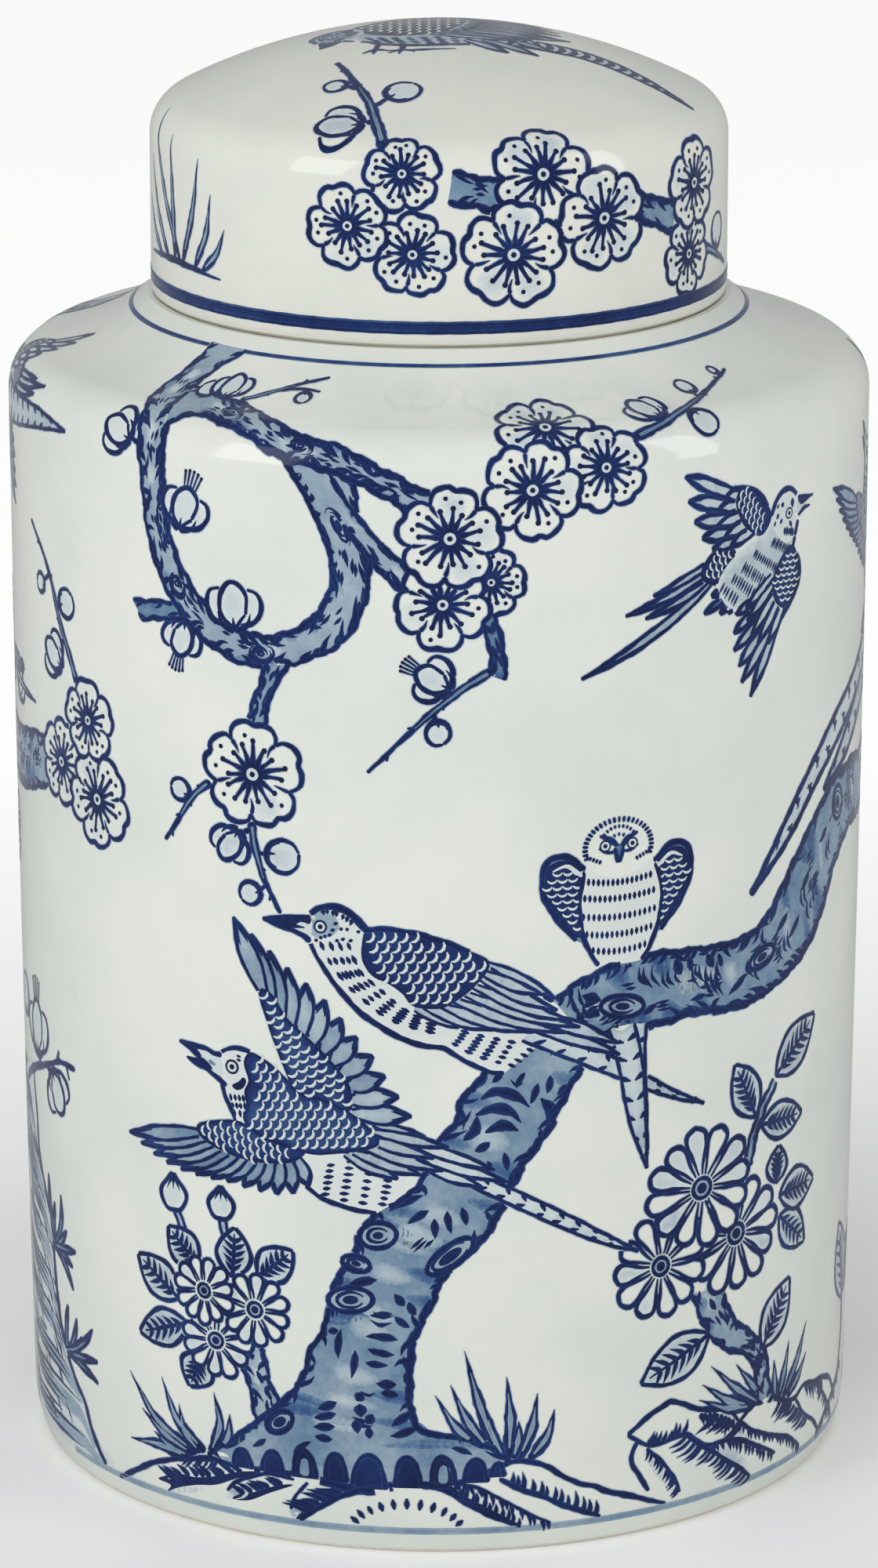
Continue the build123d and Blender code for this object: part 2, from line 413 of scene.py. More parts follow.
# ---------------------------------------------------------------- the jar and the lid
SEAT, SEAT_Z, NECK, BORE, NECK_TOP = 68.4, 279.8, 61.0, 56.0, 303.0
FOOT_BARE, SEAT_BARE, LIP_BARE, LID_BARE, LID_INNER_BARE = 1.2, 67.2, 3.0, 1.0, 10.0


def coat(face, gap):
    """Closed loop of a glaze coat on one side of a profile."""
    skin = offset(face, gap)
    skin[face[:, 0] == 0, 0] = 0
    return np.vstack([face, skin[::-1]]) if gap < 0 else np.vstack([skin, face[::-1]])


cavity = [(BORE, 272.5, 4), (95.4, 262, 8), (93.0, 11, 12), (0, 11, 0)]
recess = rounded([(0, 4, 0), (89, 4, 2), (90, 0, 0)])
foot_edge = rounded([(90, 0, 0), (96.2, 0, 0.8), tuple(jar_side[2]) + (0,)])
neck = rounded([(SEAT, SEAT_Z, 0), (NECK, SEAT_Z, 1.5), (NECK, NECK_TOP, 2.2), (BORE, NECK_TOP, 2.2),
    (BORE, 290, 0)])
revolve("jar_porcelain", np.vstack([recess, foot_edge[1:], refine(jar_side[3:], 14), neck[1:-1],
    refine(rounded([(BORE, 299, 0)] + cavity), 12)]), "jar", biscuit)
outer_face = np.vstack([refine(cut(jar_side, 1, FOOT_BARE), 9), [[SEAT_BARE, SEAT_Z]]])
revolve("jar_glaze", coat(outer_face, GLAZE), "jar", white_glaze)
revolve("jar_inner_coat", coat(refine(rounded([(BORE, NECK_TOP - LIP_BARE, 0)] + cavity), 8),
    INNER_GLAZE)[::-1], "jar", inner_glaze)
revolve("jar_base_coat", coat(rounded([(0, 4, 0), (89, 4, 2), (89.75, 1, 0)]), INNER_GLAZE)[::-1], "jar",
    inner_glaze)

LID_BORE = LID_RADIUS - LID_WALL
lid_inside = np.vstack([[[LID_BORE, LID_BOTTOM + 1.2]], lid_side(LID_WALL)])
rim_inner = arc_from((63.8, LID_BOTTOM), lid_inside[0], (-1, 0), 6)
revolve("lid_porcelain", np.vstack([lid_outside, refine(lid_inside, 4)[::-1], rim_inner[::-1][1:]]), "lid",
    biscuit)
revolve("lid_glaze", coat(refine(cut(lid_outside, 1, LID_BOTTOM + LID_BARE), 4), GLAZE), "lid", lid_glaze)
revolve("lid_inner_coat", coat(refine(np.vstack([[[LID_BORE, LID_BOTTOM + LID_INNER_BARE]],
    lid_side(LID_WALL)]), 4), -INNER_GLAZE), "lid", inner_glaze)


# ---------------------------------------------------------------- painting as meshes
WASH, LINE, STEP = 0.02, 0.045, 0.03     # heights over the glaze, and from level to level
HALO, HALO_INK, HALO_LIFT = 0.5, 0.2, 0.009
CURVE_LIFT = 0.03                        # more height where the side curves in
STAGGER, HALO_STAGGER = 0.0008, 0.0004   # keeps pieces that overlap apart
EDGE = 1.4                               # a wash changes tone this far in from its rim
GRID, PATCH_GRID, CURVED_GRID = 2.4, 1.1, 0.7
SMALLEST = 1e-5                          # area of a face that is left out


def upward(z, faces):
    """Faces wound to face out of the chart, and their areas."""
    p, q, r = z[faces.T]
    area = ((q - p).conjugate() * (r - p)).imag
    return np.where((area < 0)[:, None], faces[:, ::-1], faces), abs(area)


def ribbon(z, w, ink, closed, lift, columns):
    """Strip of faces along a stroke: chart points, ink, lift and faces."""
    d = np.gradient(z)
    if closed:
        d[0] = d[-1] = z[1] - z[-2]
    n = 1j * d / np.maximum(abs(d), 1e-9)
    points = np.concatenate([z + n * w * side / 2 for side, _ in columns])
    tone = np.concatenate([np.full(len(z), ink * share) for _, share in columns])
    m = len(z)
    i = np.arange(m - 1)
    faces = []
    for k in range(len(columns) - 1):
        a, c = k * m + i, (k + 1) * m + i
        for tri in ((a, a + 1, c + 1), (a, c + 1, c)):
            faces.append(np.c_[tri])
    faces, area = upward(points, np.vstack(faces))
    return points, tone, np.full(len(points), lift), faces[area > SMALLEST]


def wash(ring, core, rim, near, lift, grid):
    """Triangles inside a ring and outside the covers over it."""
    low, high = complex(ring.real.min(), ring.imag.min()), complex(ring.real.max(), ring.imag.max())
    points, edges = [], []
    for loop in [ring] + near:
        i = len(points)
        loop = loop[np.r_[True, abs(np.diff(loop)) > 1e-6]]
        if abs(loop[0] - loop[-1]) < 1e-6:
            loop = loop[:-1]
        if len(loop) < 3:
            continue
        points += list(loop)
        edges += [(i + k, i + (k + 1) % len(loop)) for k in range(len(loop))]
    gx, gy = np.meshgrid(np.arange(low.real, high.real, grid), np.arange(low.imag, high.imag, grid))
    inner = (gx + 1j * gy).ravel()
    if len(inner):
        points += list(inner[inside(inner, ring)])
    flat = [(p.real, p.imag) for p in points]
    made = delaunay_2d_cdt(flat, edges, [], 0, 1e-7)
    z = np.array([complex(*p) for p in made[0]])
    faces = np.array([f for f in made[2] if len(f) == 3])
    if not len(faces):
        return None
    middle = z[faces].mean(1)
    keep = inside(middle, ring)
    for c in near:
        keep &= ~inside(middle, c)
    faces = faces[keep]
    if not len(faces):
        return None
    used, index = np.unique(faces, return_inverse=True)
    z = z[used]
    faces, _ = upward(z, index.reshape(-1, 3))
    reach = np.abs(z[:, None] - ring[None, ::2]).min(1)
    t = np.clip(reach / EDGE, 0, 1)
    return z, rim + (core - rim) * t, np.full(len(z), lift), faces


# across a stroke: side and share of its ink
LINE_COLUMNS = ((1, 0.78), (0, 1.0), (-1, 0.78))
HALO_COLUMNS = ((1, 1.0), (-1, 1.0))
PATCH = 0.5           # level of a patch of wash inside a larger one


def paint_piece(name, sheet, group, surface, body, mapping="around"):
    """One mesh from the strokes and washes of a group."""
    parts = []
    count = 0
    for ring, core, rim, n, level, piece in sheet.fills:
        if piece == group:
            count += 1
            grid = GRID if level != PATCH else PATCH_GRID
            if mapping == "around" and ring.imag.max() > surface.curved:
                grid = CURVED_GRID
            lift = WASH + STEP * level + STAGGER * (count % 9)
            parts.append(wash(ring, core, rim, sheet.near(ring, n), lift, grid))
    for z, w, ink, closed, level, piece in sheet.strokes:
        if piece == group and len(z) > 1:
            count += 1
            lift = LINE + STEP * (level - 1) + STAGGER * (count % 12)
            parts.append(ribbon(z, w, ink, closed, lift, LINE_COLUMNS))
            if ink > 0.5 and level == 1:
                lift = HALO_LIFT + HALO_STAGGER * (count % 9)
                parts.append(ribbon(z, w + HALO, HALO_INK, closed, lift, HALO_COLUMNS))
    parts = [p for p in parts if p is not None]
    sizes = np.cumsum([0] + [len(p[0]) for p in parts])
    z, tone, lift = (np.concatenate([p[k] for p in parts]) for k in range(3))
    faces = np.vstack([p[3] + s for p, s in zip(parts, sizes)])
    if mapping == "around":
        lift = lift + CURVE_LIFT * np.clip((z.imag - surface.curved) / 6, 0, 1)
    co, normals = getattr(surface, mapping)(z, lift)
    piece = new_piece(name, co, faces.tolist(), body, paint, normals)
    layer = piece.data.attributes.new("ink", "FLOAT", "POINT")
    layer.data.foreach_set("value", np.clip(tone, 0, 1).astype(np.float32))


# ---------------------------------------------------------------- curves
CURVE_STEP, STROKE_STEP = 0.8, 0.9
WEIGHT = 1.2          # how loaded the brush is
ROUND_END = 0.12      # half width from which a stroke's end is rounded


def curve(points, closed=False):
    """Smooth line through points. A point given twice makes a corner."""
    p = np.asarray(points, complex)
    if closed:
        p = np.append(p, p[0])
    same = np.abs(np.diff(p)) < 1e-9
    cuts = [0] + [i + 1 for i in np.flatnonzero(same)] + [len(p)]
    smooth_ring = closed and len(cuts) == 2
    out = []
    for lo, hi in zip(cuts[:-1], cuts[1:]):
        q = p[lo:hi]
        if len(q) < 2:
            continue
        if smooth_ring:
            ext = np.concatenate([[q[-2]], q, [q[1]]])
        else:
            ext = np.concatenate([[2 * q[0] - q[1]], q, [2 * q[-1] - q[-2]]])
        for i in range(1, len(ext) - 2):
            a, b, c, d = ext[i - 1:i + 3]
            n = max(1, int(math.ceil(abs(c - b) / CURVE_STEP)))
            t = np.arange(n) / n
            out.append(0.5 * (2 * b + (c - a) * t + (2 * a - 5 * b + 4 * c - d) * t**2
                + (3 * b - a - 3 * c + d) * t**3))
        if hi == len(p) and not closed:
            out.append(q[-1:])
    return np.concatenate(out)


def lengths(z):
    return np.concatenate([[0], np.cumsum(np.abs(np.diff(z)))])


def along(z, t):
    """Points at fractions t of the length of polyline z."""
    s = lengths(z)
    t = np.asarray(t) * s[-1]
    return np.interp(t, s, z.real) + 1j * np.interp(t, s, z.imag)


def inside(z, ring):
    """Whether each point lies in a closed ring, by counting crossings."""
    z = np.atleast_1d(z)
    hit = np.zeros(len(z), bool)
    near = ((z.real >= ring.real.min()) & (z.real <= ring.real.max()) & (z.imag >= ring.imag.min())
        & (z.imag <= ring.imag.max()))
    if not near.any():
        return hit
    a = ring
    b = np.roll(ring, -1)
    q = z[near][:, None]
    spans = (a.imag > q.imag) != (b.imag > q.imag)
    rise = np.where(b.imag == a.imag, 1e-12, b.imag - a.imag)
    cross = (b.real - a.real) * (q.imag - a.imag) / rise + a.real
    hit[near] = (spans & (q.real < cross)).sum(axis=1) % 2 == 1
    return hit


def cis(deg):
    return cmath.exp(1j * math.radians(deg))


def oval(c, w, h, angles):
    """Points of an upright ellipse."""
    return [c + complex(w * cis(a).real, h * cis(a).imag) for a in angles]


# ---------------------------------------------------------------- painted sheet
class Sheet:
    """One painted surface laid flat, in millimetres. Front things are added first:
    whatever comes later is cut away where a cover already lies."""

    def __init__(self, seed):
        self.rng = random.Random(seed)
        self.strokes = []
        self.fills = []
        self.covers = []      # rings that hide what is added after them
        self.boxes = []
        self.at()
        self.piece = "lines"

    def at(self, spot=0, turn=0, size=1.0, flip=False, pivot=0):
        """Puts the pivot of what is drawn next at a spot, turned, sized and mirrored."""
        k = size * cis(turn)
        self.size = size
        self.place = lambda z: spot + k * (-np.conj(z - pivot) if flip else z - pivot)

    def j(self, a, b=None):
        """A random number up to a either way, or from a to b."""
        if b is None:
            return self.rng.uniform(-a, a)
        return self.rng.uniform(a, b)

    def stroke(self, points, w=0.9, ink=1.0, closed=False, level=1, raw=False, wobble=0.05, sway=1.0):
        z = np.asarray(points, complex) if raw else curve(points, closed)
        if closed:
            z = np.append(z, z[0])
        z = self.place(z)
        s = lengths(z)
        total = s[-1]
        if total < 0.05:
            return
        w = np.atleast_1d(np.asarray(w, float)) * self.size * WEIGHT
        step = STROKE_STEP if total > 3 else max(total / 5, 0.25)
        n = max(2, int(math.ceil(total / step)))
        marks = list(np.linspace(0, total, n + 1))
        if not closed:
            for r, end in ((w[0] / 2, 0), (w[-1] / 2, 1)):
                if r > ROUND_END:
                    for f in (0.08, 0.35, 0.9):
                        d = min(r * f, total * 0.45)
                        marks.append(total - d if end else d)
        m = np.unique(np.round(marks, 4))
        zz = np.interp(m, s, z.real) + 1j * np.interp(m, s, z.imag)
        t = m / total
        ww = np.interp(t, np.linspace(0, 1, len(w)), w) if len(w) > 1 else np.full(len(m), w[0])
        ph = self.j(0, 6.28)
        ww = ww * (1 + sway * (0.10 * np.sin(m * 0.9 + ph) + 0.05 * np.sin(m * 2.3 + 2 * ph)))
        if wobble and total > 2 and not closed:
            off = wobble * np.sin(m * 0.7 + ph) + wobble * 0.6 * np.sin(m * 1.9 + 1.7 * ph)
            tg = np.gradient(zz)
            zz = zz + 1j * tg / np.maximum(np.abs(tg), 1e-9) * off
        if not closed:
            for r, d in ((w[0] / 2, m), (w[-1] / 2, total - m)):
                if r > ROUND_END:
                    f = np.clip(1 - d / min(r, total / 2), 0, 1)
                    ww = ww * np.sqrt(np.clip(1 - f**2, 0.0, 1))
        keep = np.ones(len(zz), bool)
        for ring in self.near(zz):
            keep &= ~inside(zz, ring)
        for run in np.split(np.arange(len(zz)), np.flatnonzero(np.diff(keep)) + 1):
            if keep[run[0]] and len(run) > 1:
                self.strokes.append((zz[run], ww[run], ink, closed and keep.all(), level, self.piece))

    def dot(self, c, r, ink=1.0, level=2):
        self.fill([c + r * cis(a) for a in range(0, 360, 60)], ink, level=level)

    def ring(self, points, raw):
        return self.place(np.asarray(points, complex) if raw else curve(points, True))

    def fill(self, points, core, rim=None, level=0, raw=False):
        """Wash in a ring, with an ink for its middle and one for its rim."""
        ring = self.ring(points, raw)
        if level >= 1 and any(inside(ring[:1], c).any() for c in self.near(ring[:1])):
            return
        self.fills.append((ring, core, core if rim is None else rim, len(self.covers), level, self.piece))

    def cover(self, points, raw=False):
        """Hides what is drawn later inside a ring."""
        ring = self.ring(points, raw)
        self.covers.append(ring)
        self.boxes.append((ring.real.min(), ring.imag.min(), ring.real.max(), ring.imag.max()))

    def body(self, points, core, rim=None, raw=False):
        """A wash that also covers."""
        self.fill(points, core, rim, raw=raw)
        self.cover(points, raw)

    def near(self, z, count=None):
        """The covers whose box meets the box of some points."""
        if not self.covers[:count]:
            return []
        x0, y0, x1, y1 = np.array(self.boxes[:count]).T
        hit = (x0 < z.real.max()) & (x1 > z.real.min()) & (y0 < z.imag.max()) & (y1 > z.imag.min())
        return [self.covers[i] for i in np.flatnonzero(hit)]


# ---------------------------------------------------------------- flowers and leaves
def blossom(b, c, r, turn=0, tint=0.5):
    """Blossom of five petals, with stamens round a dark star."""
    def at(rad, deg):
        return c + rad * r * cis(deg)

    k = r / 11
    heavy = 0.58 + 0.24 * k
    b.fill([at(0.13, a) for a in range(0, 360, 40)], 0.14, level=2)
    b.stroke([at(0.15, a) for a in range(0, 360, 45)], w=0.6 * heavy, closed=True, level=3)
    b.dot(c, 0.06 * r, level=3)
    b.fill([at(rad, turn + 24 * i + d) for i in range(15) for rad, d in ((0.37, 0), (0.22, 12))], 0.93)
    lobes = ((-1, 0.76), (-0.88, 0.88), (-0.6, 0.98), (-0.28, 1), (-0.04, 0.95), (0.2, 1.01), (0.55, 1),
        (0.86, 0.9))
    ring = [[at(rad * (1 + b.j(0.018)), turn + 72 * i + 36 * f + b.j(1.2)) for f, rad in lobes]
        for i in range(5)]
    for i in range(5):
        a = turn + 72 * i
        arc = ring[i] + [ring[(i + 1) % 5][0]]
        b.stroke(arc, w=np.array([0.85, 1.3, 1.45, 1.25, 0.9]) * heavy)
        b.stroke([arc[0], at(0.62, a - 36 + b.j(3)), at(0.46, a - 36 + b.j(5))],
            w=np.array([1.15, 0.8, 0.15]) * heavy)
        for d, far in ((-23, 0.55), (0, 0.64), (23, 0.55)):
            d += b.j(3)
            far += b.j(0.05)
            b.stroke([at(0.2, a + d), at(0.4, a + d + b.j(2)), at(far, a + d + b.j(2))],
                w=np.array([1.6, 0.95, 0.85]) * heavy, wobble=0)
            b.dot(at(far, a + d), 0.86 * heavy)
        for d in (-13, 13):
            if b.j(0, 1) < 0.7:
                b.dot(at(0.77 + b.j(0.03), a + d + b.j(3)), 0.7 * heavy)
        if b.j(0, 1) < tint:
            lean = b.j(8)
            b.fill([at(0.3, a), at(0.55, a - 24 + lean), at(0.84, a - 18 + lean), at(0.9, a + lean),
                at(0.84, a + 18 + lean), at(0.55, a + 24 + lean)], b.j(0.08, 0.18), 0.03)
    b.cover([z for arc in ring for z in arc[:1] + arc])


def bud(b, c, r, aim=90, kind=0, tint=0.24):
    """Bud on a calyx. aim is the way its tip points."""
    tint *= 0.62

    def at(x, y):
        return c + r * complex(x, y) * cis(aim)

    if kind == 2:
        for d in (-34, -17, 0, 17, 34):
            tip = at(1, 0) + 0.75 * r * cis(aim + d)
            b.stroke([at(0.85, d * 0.008), tip], w=(0.35, 0.5), wobble=0)
            b.dot(tip, 0.45)
    base = at(-1, 0)
    for s in (1, -1):
        b.stroke([base, at(-0.75, 0.55 * s), at(-0.25, 0.72 * s)], w=(1.5, 1.1, 0.2))
    b.stroke([base, at(-0.45, 0.05)], w=(1.3, 0.2))
    if kind == 0:
        ring = [at(math.cos(t), 0.96 * math.sin(t)) for t in np.linspace(0.4, 6, 9)]
        b.stroke(ring + [ring[0]], w=(0.6, 1, 1.15, 0.9, 0.6))
        b.body(ring, tint, 0.06)
        return
    front = [at(-0.9, 0), at(-0.4, 0.55), at(0.3, 0.62), at(0.85, 0.3), at(0.95, -0.1), at(0.5, -0.55),
        at(-0.3, -0.5)]
    b.stroke(front[:1] + front, w=(0.7, 1, 1.1, 0.9, 0.7))
    b.stroke([front[-1], front[0]], w=(0.7, 0.7))
    b.body(front, tint, 0.05)
    for s in (1, -1):
        side = [at(-0.85, 0), at(-0.6, 0.85 * s), at(0, 1.2 * s), at(0.55, 1.05 * s), at(0.7, 0.6 * s),
            at(0.3, 0.4 * s)]
        b.stroke(side[:-1], w=(0.8, 1.15, 1, 0.6))
        b.body(side, tint * 0.8, 0.04)


def leaf(b, base, tip, fat, tone=0.26, veins=6, bend=0):
    axis = tip - base
    n = 1j * axis / abs(axis)

    def mid(t):
        return base + axis * t + n * bend * 4 * t * (1 - t)

    up, down = ([mid(t) + s * n * fat * f for t, f in ((0, 0), (0.2, 0.68), (0.45, 1), (0.72, 0.74),
        (0.9, 0.3), (1, 0))] for s in (1, -1))
    b.stroke([mid(0), mid(0.3), mid(0.6), mid(0.88)], w=(1, 1, 0.8, 0.3))
    for i in range(veins):
        t = 0.16 + 0.56 * i / (veins - 1)
        body = fat * math.sin(math.pi * (0.12 + 0.8 * t))
        for s in (1, -1):
            b.stroke([mid(t), mid(t + 0.06) + s * n * body * 0.32, mid(t + 0.15) + s * n * body * 0.66],
                w=(1.25, 0.95, 0.12), wobble=0)
    b.stroke(up, w=(0.8, 1.1, 1, 0.9, 1))
    b.stroke(down, w=(0.8, 1, 1.1, 0.9, 0.9))
    ring = up + [up[-1]] + down[::-1]
    b.body(ring, tone, tone * 0.45)


def daisy(b, c, r, n=12, turn=0, wide=1):
    """Open flower of long petals that overlap in random order."""
    def at(rad, deg):
        z = rad * r * cis(deg)
        return c + complex(z.real * wide, z.imag)

    hub = 0.17 if r > 11 else 0.2
    thick = 0.72 + 0.28 * min(1, (r - 8) / 6)
    b.fill([at(hub * 0.55, a) for a in range(0, 360, 45)], 0.95, level=2)
    b.stroke([at(hub, a) for a in range(0, 360, 36)], w=0.95 * thick, closed=True)
    b.fill([at(hub, a) for a in range(0, 360, 36)], 0.3)
    b.cover([at(hub + 0.03, a) for a in range(0, 360, 30)])
    order = list(range(n))
    b.rng.shuffle(order)
    half = 180 / n
    for i in order:
        a = turn + 360 * i / n + b.j(2)
        far = 1 + b.j(0.05)
        edge = ((hub, 0.3), (0.5, 0.72), (0.76 * far, 0.9), (0.93 * far, 0.66), (far, 0.1))
        ring = [at(rad, a - half * f) for rad, f in edge] + [at(rad, a + half * f) for rad, f in edge[::-1]]
        b.stroke(ring, w=np.array([0.35, 0.7, 1.05, 1.15, 1.2, 1.15, 1.05, 0.7, 0.35]) * thick)
        if b.j(0, 1) < 0.34:
            b.fill(ring, b.j(0.1, 0.24), 0.03)
        b.cover(ring)


def grass(b, blades, w=1.7):
    """Tuft. Each blade is (root, bend, tip)."""
    for root, sway, tip in blades:
        mid = (root + tip) / 2 + sway * 1j * (tip - root)
        b.stroke([root + (mid - root) * 0.25, mid, mid + (tip - mid) * 0.6], w=(0.3, w * 0.34, 0.1), ink=0.42,
            level=2, wobble=0)
        b.stroke([root, mid, tip], w=(w * 0.55, w * 0.9, w * 0.8, w * 0.4, 0.08))


# ---------------------------------------------------------------- wood and stone
def fringe(b, points, reach, gap=1.5, w=0.9, lean=0.5, shrink=0, side=1):
    """Row of short tapered hatches hanging off a line."""
    z = curve(points)
    total = lengths(z)[-1]
    n = max(2, int(total / gap))
    for i in range(n):
        t = (i + 0.5 + b.j(0.3)) / n
        p, q = along(z, [t, min(t + 0.01, 1)])
        if abs(q - p) < 1e-9:
            continue
        d = (q - p) / abs(q - p)
        ln = reach * (0.75 + b.j(0, 0.5)) * (1 - shrink * t)
        tip = p + ln * (side * 1j * d + lean * d)
        b.stroke([p, (p + tip) / 2 + 0.12 * ln * d, tip], w=(w, w * 0.75, 0.08), wobble=0)


def limb(b, left, right, tone=0.42, busy=1, knots=(), edge=1.15, inner=0.6, patches=1):
    """Branch or trunk between two edges, with bark licks, dashes and knots."""
    left, right = curve(left), curve(right)
    total = (lengths(left)[-1] + lengths(right)[-1]) / 2
    n = max(int(total / CURVE_STEP), 8)
    t = np.linspace(0, 1, n)
    left, right = along(left, t), along(right, t)
    across = right - left
    unit = across / np.maximum(np.abs(across), 1e-6)
    for line, sign, ph in ((left, -1, b.j(0, 6)), (right, 1, b.j(0, 6))):
        s = t * total
        line += sign * unit * (0.22 * np.sin(s * 0.83 + ph) + 0.16 * np.sin(s * 1.9 + 2 * ph)
            + 0.10 * np.sin(s * 3.7 + ph))

    def p(s, q):
        i = np.clip(s, 0, 1) * (n - 1)
        lo = np.interp(i, np.arange(n), left.real) + 1j * np.interp(i, np.arange(n), left.imag)
        hi = np.interp(i, np.arange(n), right.real) + 1j * np.interp(i, np.arange(n), right.imag)
        return lo + (hi - lo) * q

    mean = float(np.mean(np.abs(across)))
    for s, q, r in knots:
        m = abs(p(s, 1) - p(s, 0))
        eye, loop, outer, far = ([p(s + f * r * 1.5 * math.cos(a) / total, q + f * r * math.sin(a) / m)
            for a in np.linspace(0, 2 * math.pi, 11)[:-1]] for f in (0.42, 0.85, 1.25, 1.6))
        b.fill(eye, 0.9)
        b.stroke(eye, w=0.7, closed=True)
        b.stroke(loop[:8], w=(0.3, 0.9, 1, 0.3))
        b.stroke(outer[4:] + outer[:2], w=(0.2, 1.1, 0.9, 0.15))
        b.stroke(far[6:] + far[:3], w=(0.15, 0.9, 0.12))
    # licks off both edges
    for q0, sign in ((0, 1), (1, -1)):
        count = int(total / 3.0 * busy)
        for i in range(count):
            s = (i + b.j(0.1, 0.9)) / max(count, 1)
            m = abs(p(s, 1) - p(s, 0))
            ds = b.j(1.6, 4.6) / total * (1 if b.j(0, 1) < 0.75 else -1)
            deep = min(b.j(0.9, 3.4), 0.42 * m) / m
            a, c, d = p(s, q0), p(s + ds * 0.45, q0 + sign * deep * 0.7), p(s + ds, q0 + sign * deep)
            b.stroke([a, c, d], w=(1.5, b.j(0.8, 1.3), 0.1))
    # dashes in the middle, in small groups
    groups = int(total * mean / 34 * busy * inner)
    for _ in range(groups):
        s, q = b.j(0.03, 0.95), b.j(0.22, 0.74)
        if any(abs(s - ks) * total < kr * 2.2 and abs(q - kq) * mean < kr * 1.9 for ks, kq, kr in knots):
            continue
        m = abs(p(s, 1) - p(s, 0))
        slant = b.j(0.35)
        if mean > 12 and b.j(0, 1) < 0.4:
            half = b.j(1.5, 3.6) / m
            for k in range(b.rng.randint(1, 3)):
                ss = s + k * b.j(1.5, 2.1) / total
                b.stroke([p(ss, q - half), p(ss + 0.9 / total, q), p(ss - 0.2 / total, q
                    + half * b.j(0.6, 1))], w=(0.12, b.j(0.8, 1.3), 0.12))
            continue
        for k in range(b.rng.randint(1, 3)):
            ln = b.j(1.8, 4.4) / total
            qq = q + k * b.j(0.9, 1.3) / m
            ss = s + b.j(0.8) / total
            b.stroke([p(ss, qq), p(ss + ln / 2, qq + slant * 0.8 / m), p(ss + ln, qq + slant / m)],
                w=(0.15, b.j(0.6, 1), 0.12), wobble=0)
    b.stroke(left, w=np.array([0.8, 1.2, 0.8, 1.3, 0.9, 1.2, 0.8]) * edge, raw=True, wobble=0)
    b.stroke(right, w=np.array([1, 1.2, 1.5, 0.9, 1.4, 1.1, 1]) * edge, raw=True, wobble=0)
    # pools of thicker and thinner wash
    for k in range(int(total / 7 * patches)):
        s, low = b.j(0.02, 0.92), k % 2
        ds, deep = b.j(3, 7) / total, b.j(0.24, 0.44)
        if k % 3 == 2:
            blob = [p(s, 0.34), p(s + ds * 0.5, 0.26), p(s + ds, 0.4), p(s + ds * 0.9, 0.64),
                p(s + ds * 0.4, 0.7)]
            b.fill(blob, tone - 0.15, tone, level=PATCH)
        else:
            blob = [p(s, low), p(s + ds * 0.3, abs(low - deep)), p(s + ds * 0.75, abs(low - deep * 0.8)),
                p(s + ds, low)]
            b.fill(blob, tone + 0.2, tone + 0.04, level=PATCH)
    ring = np.concatenate([left, right[::-1]])
    b.body(ring, tone, tone + 0.1, raw=True)


def twig(b, points, w0, w1, thorns):
    """Thin branch with thorns."""
    z = curve(points)
    for i in range(thorns):
        t = (i + 0.6) / (thorns + 0.3)
        p, q = along(z, [t, min(t + 0.03, 1)])
        d = (q - p) / abs(q - p)
        s = 1 if i % 2 else -1
        b.stroke([p, p + 1.5 * (d * 0.7 + s * 0.8j * d)], w=(1.2, 0.3), wobble=0)
    if w0 > 1.5:
        half = along(z, np.linspace(0.05, 0.6, 8))
        b.stroke(half, w=(w0 * 0.3, w0 * 0.22, 0.15), ink=0.5, level=2)
    b.stroke(z, w=(w0, w0 * 0.85, (w0 + w1) / 2, w1 * 1.2, w1), raw=True)


def stalks(b, rows):
    """Short straight strokes. A row is (start, end, width, width)."""
    for start, end, *w in rows:
        b.stroke([start, end], w=w)


def bars(b, one, two, rows, per_row, reach, w=0.75, skew=0):
    """Rows of short ticks across a breast, between two edge lines."""
    one, two = curve(one), curve(two)
    for i in range(rows):
        t = (i + 0.5) / rows
        a, a2 = along(one, [t, min(t + 0.03, 1)])
        c, c2 = along(two, [t, min(t + 0.03, 1)])
        d = (a2 - a) + (c2 - c)
        d = d / max(abs(d), 1e-9) * cis(skew)
        m = per_row if isinstance(per_row, int) else per_row[i % len(per_row)]
        for k in range(m):
            q = (k + 0.5) / m
            z = a + (c - a) * q + b.j(0.12)
            ln = reach * (0.95 + b.j(0, 0.4))
            b.stroke([z - d * ln / 2, z + d * ln / 2], w=(0.3, w * 1.3, 0.25), wobble=0)


def scales(b, points, turn, size, dark=0.84, raw=False):
    """Patch of overlapping round feathers: pale crescents on dark blue."""
    ring = curve(points, True) if not raw else points
    d = cis(turn)
    c0 = ring.mean()
    reach = np.abs(ring - c0).max()
    rows = int(reach / (size * 0.62)) + 1
    cols = int(reach / (size * 0.95)) + 1
    for i in range(-rows, rows + 1):
        for k in range(-cols, cols + 1):
            z = c0 + d * size * 0.66 * i + 1j * d * size * 0.98 * (k + 0.5 * (i % 2))
            if not inside(np.array([z - d * size * 0.15, z + d * size * 0.62]), ring).all():
                continue
            r = size * 0.5
            arc = [z + r * d * cis(a) for a in np.linspace(-66, 66, 5) + b.j(4)]
            b.stroke(arc, w=(0.2, size * 0.17, size * 0.2, size * 0.17, 0.2), ink=0.12, level=2, wobble=0)
    b.stroke(ring, w=0.7, closed=True, raw=True)
    b.body(ring, dark, dark + 0.12, raw=True)


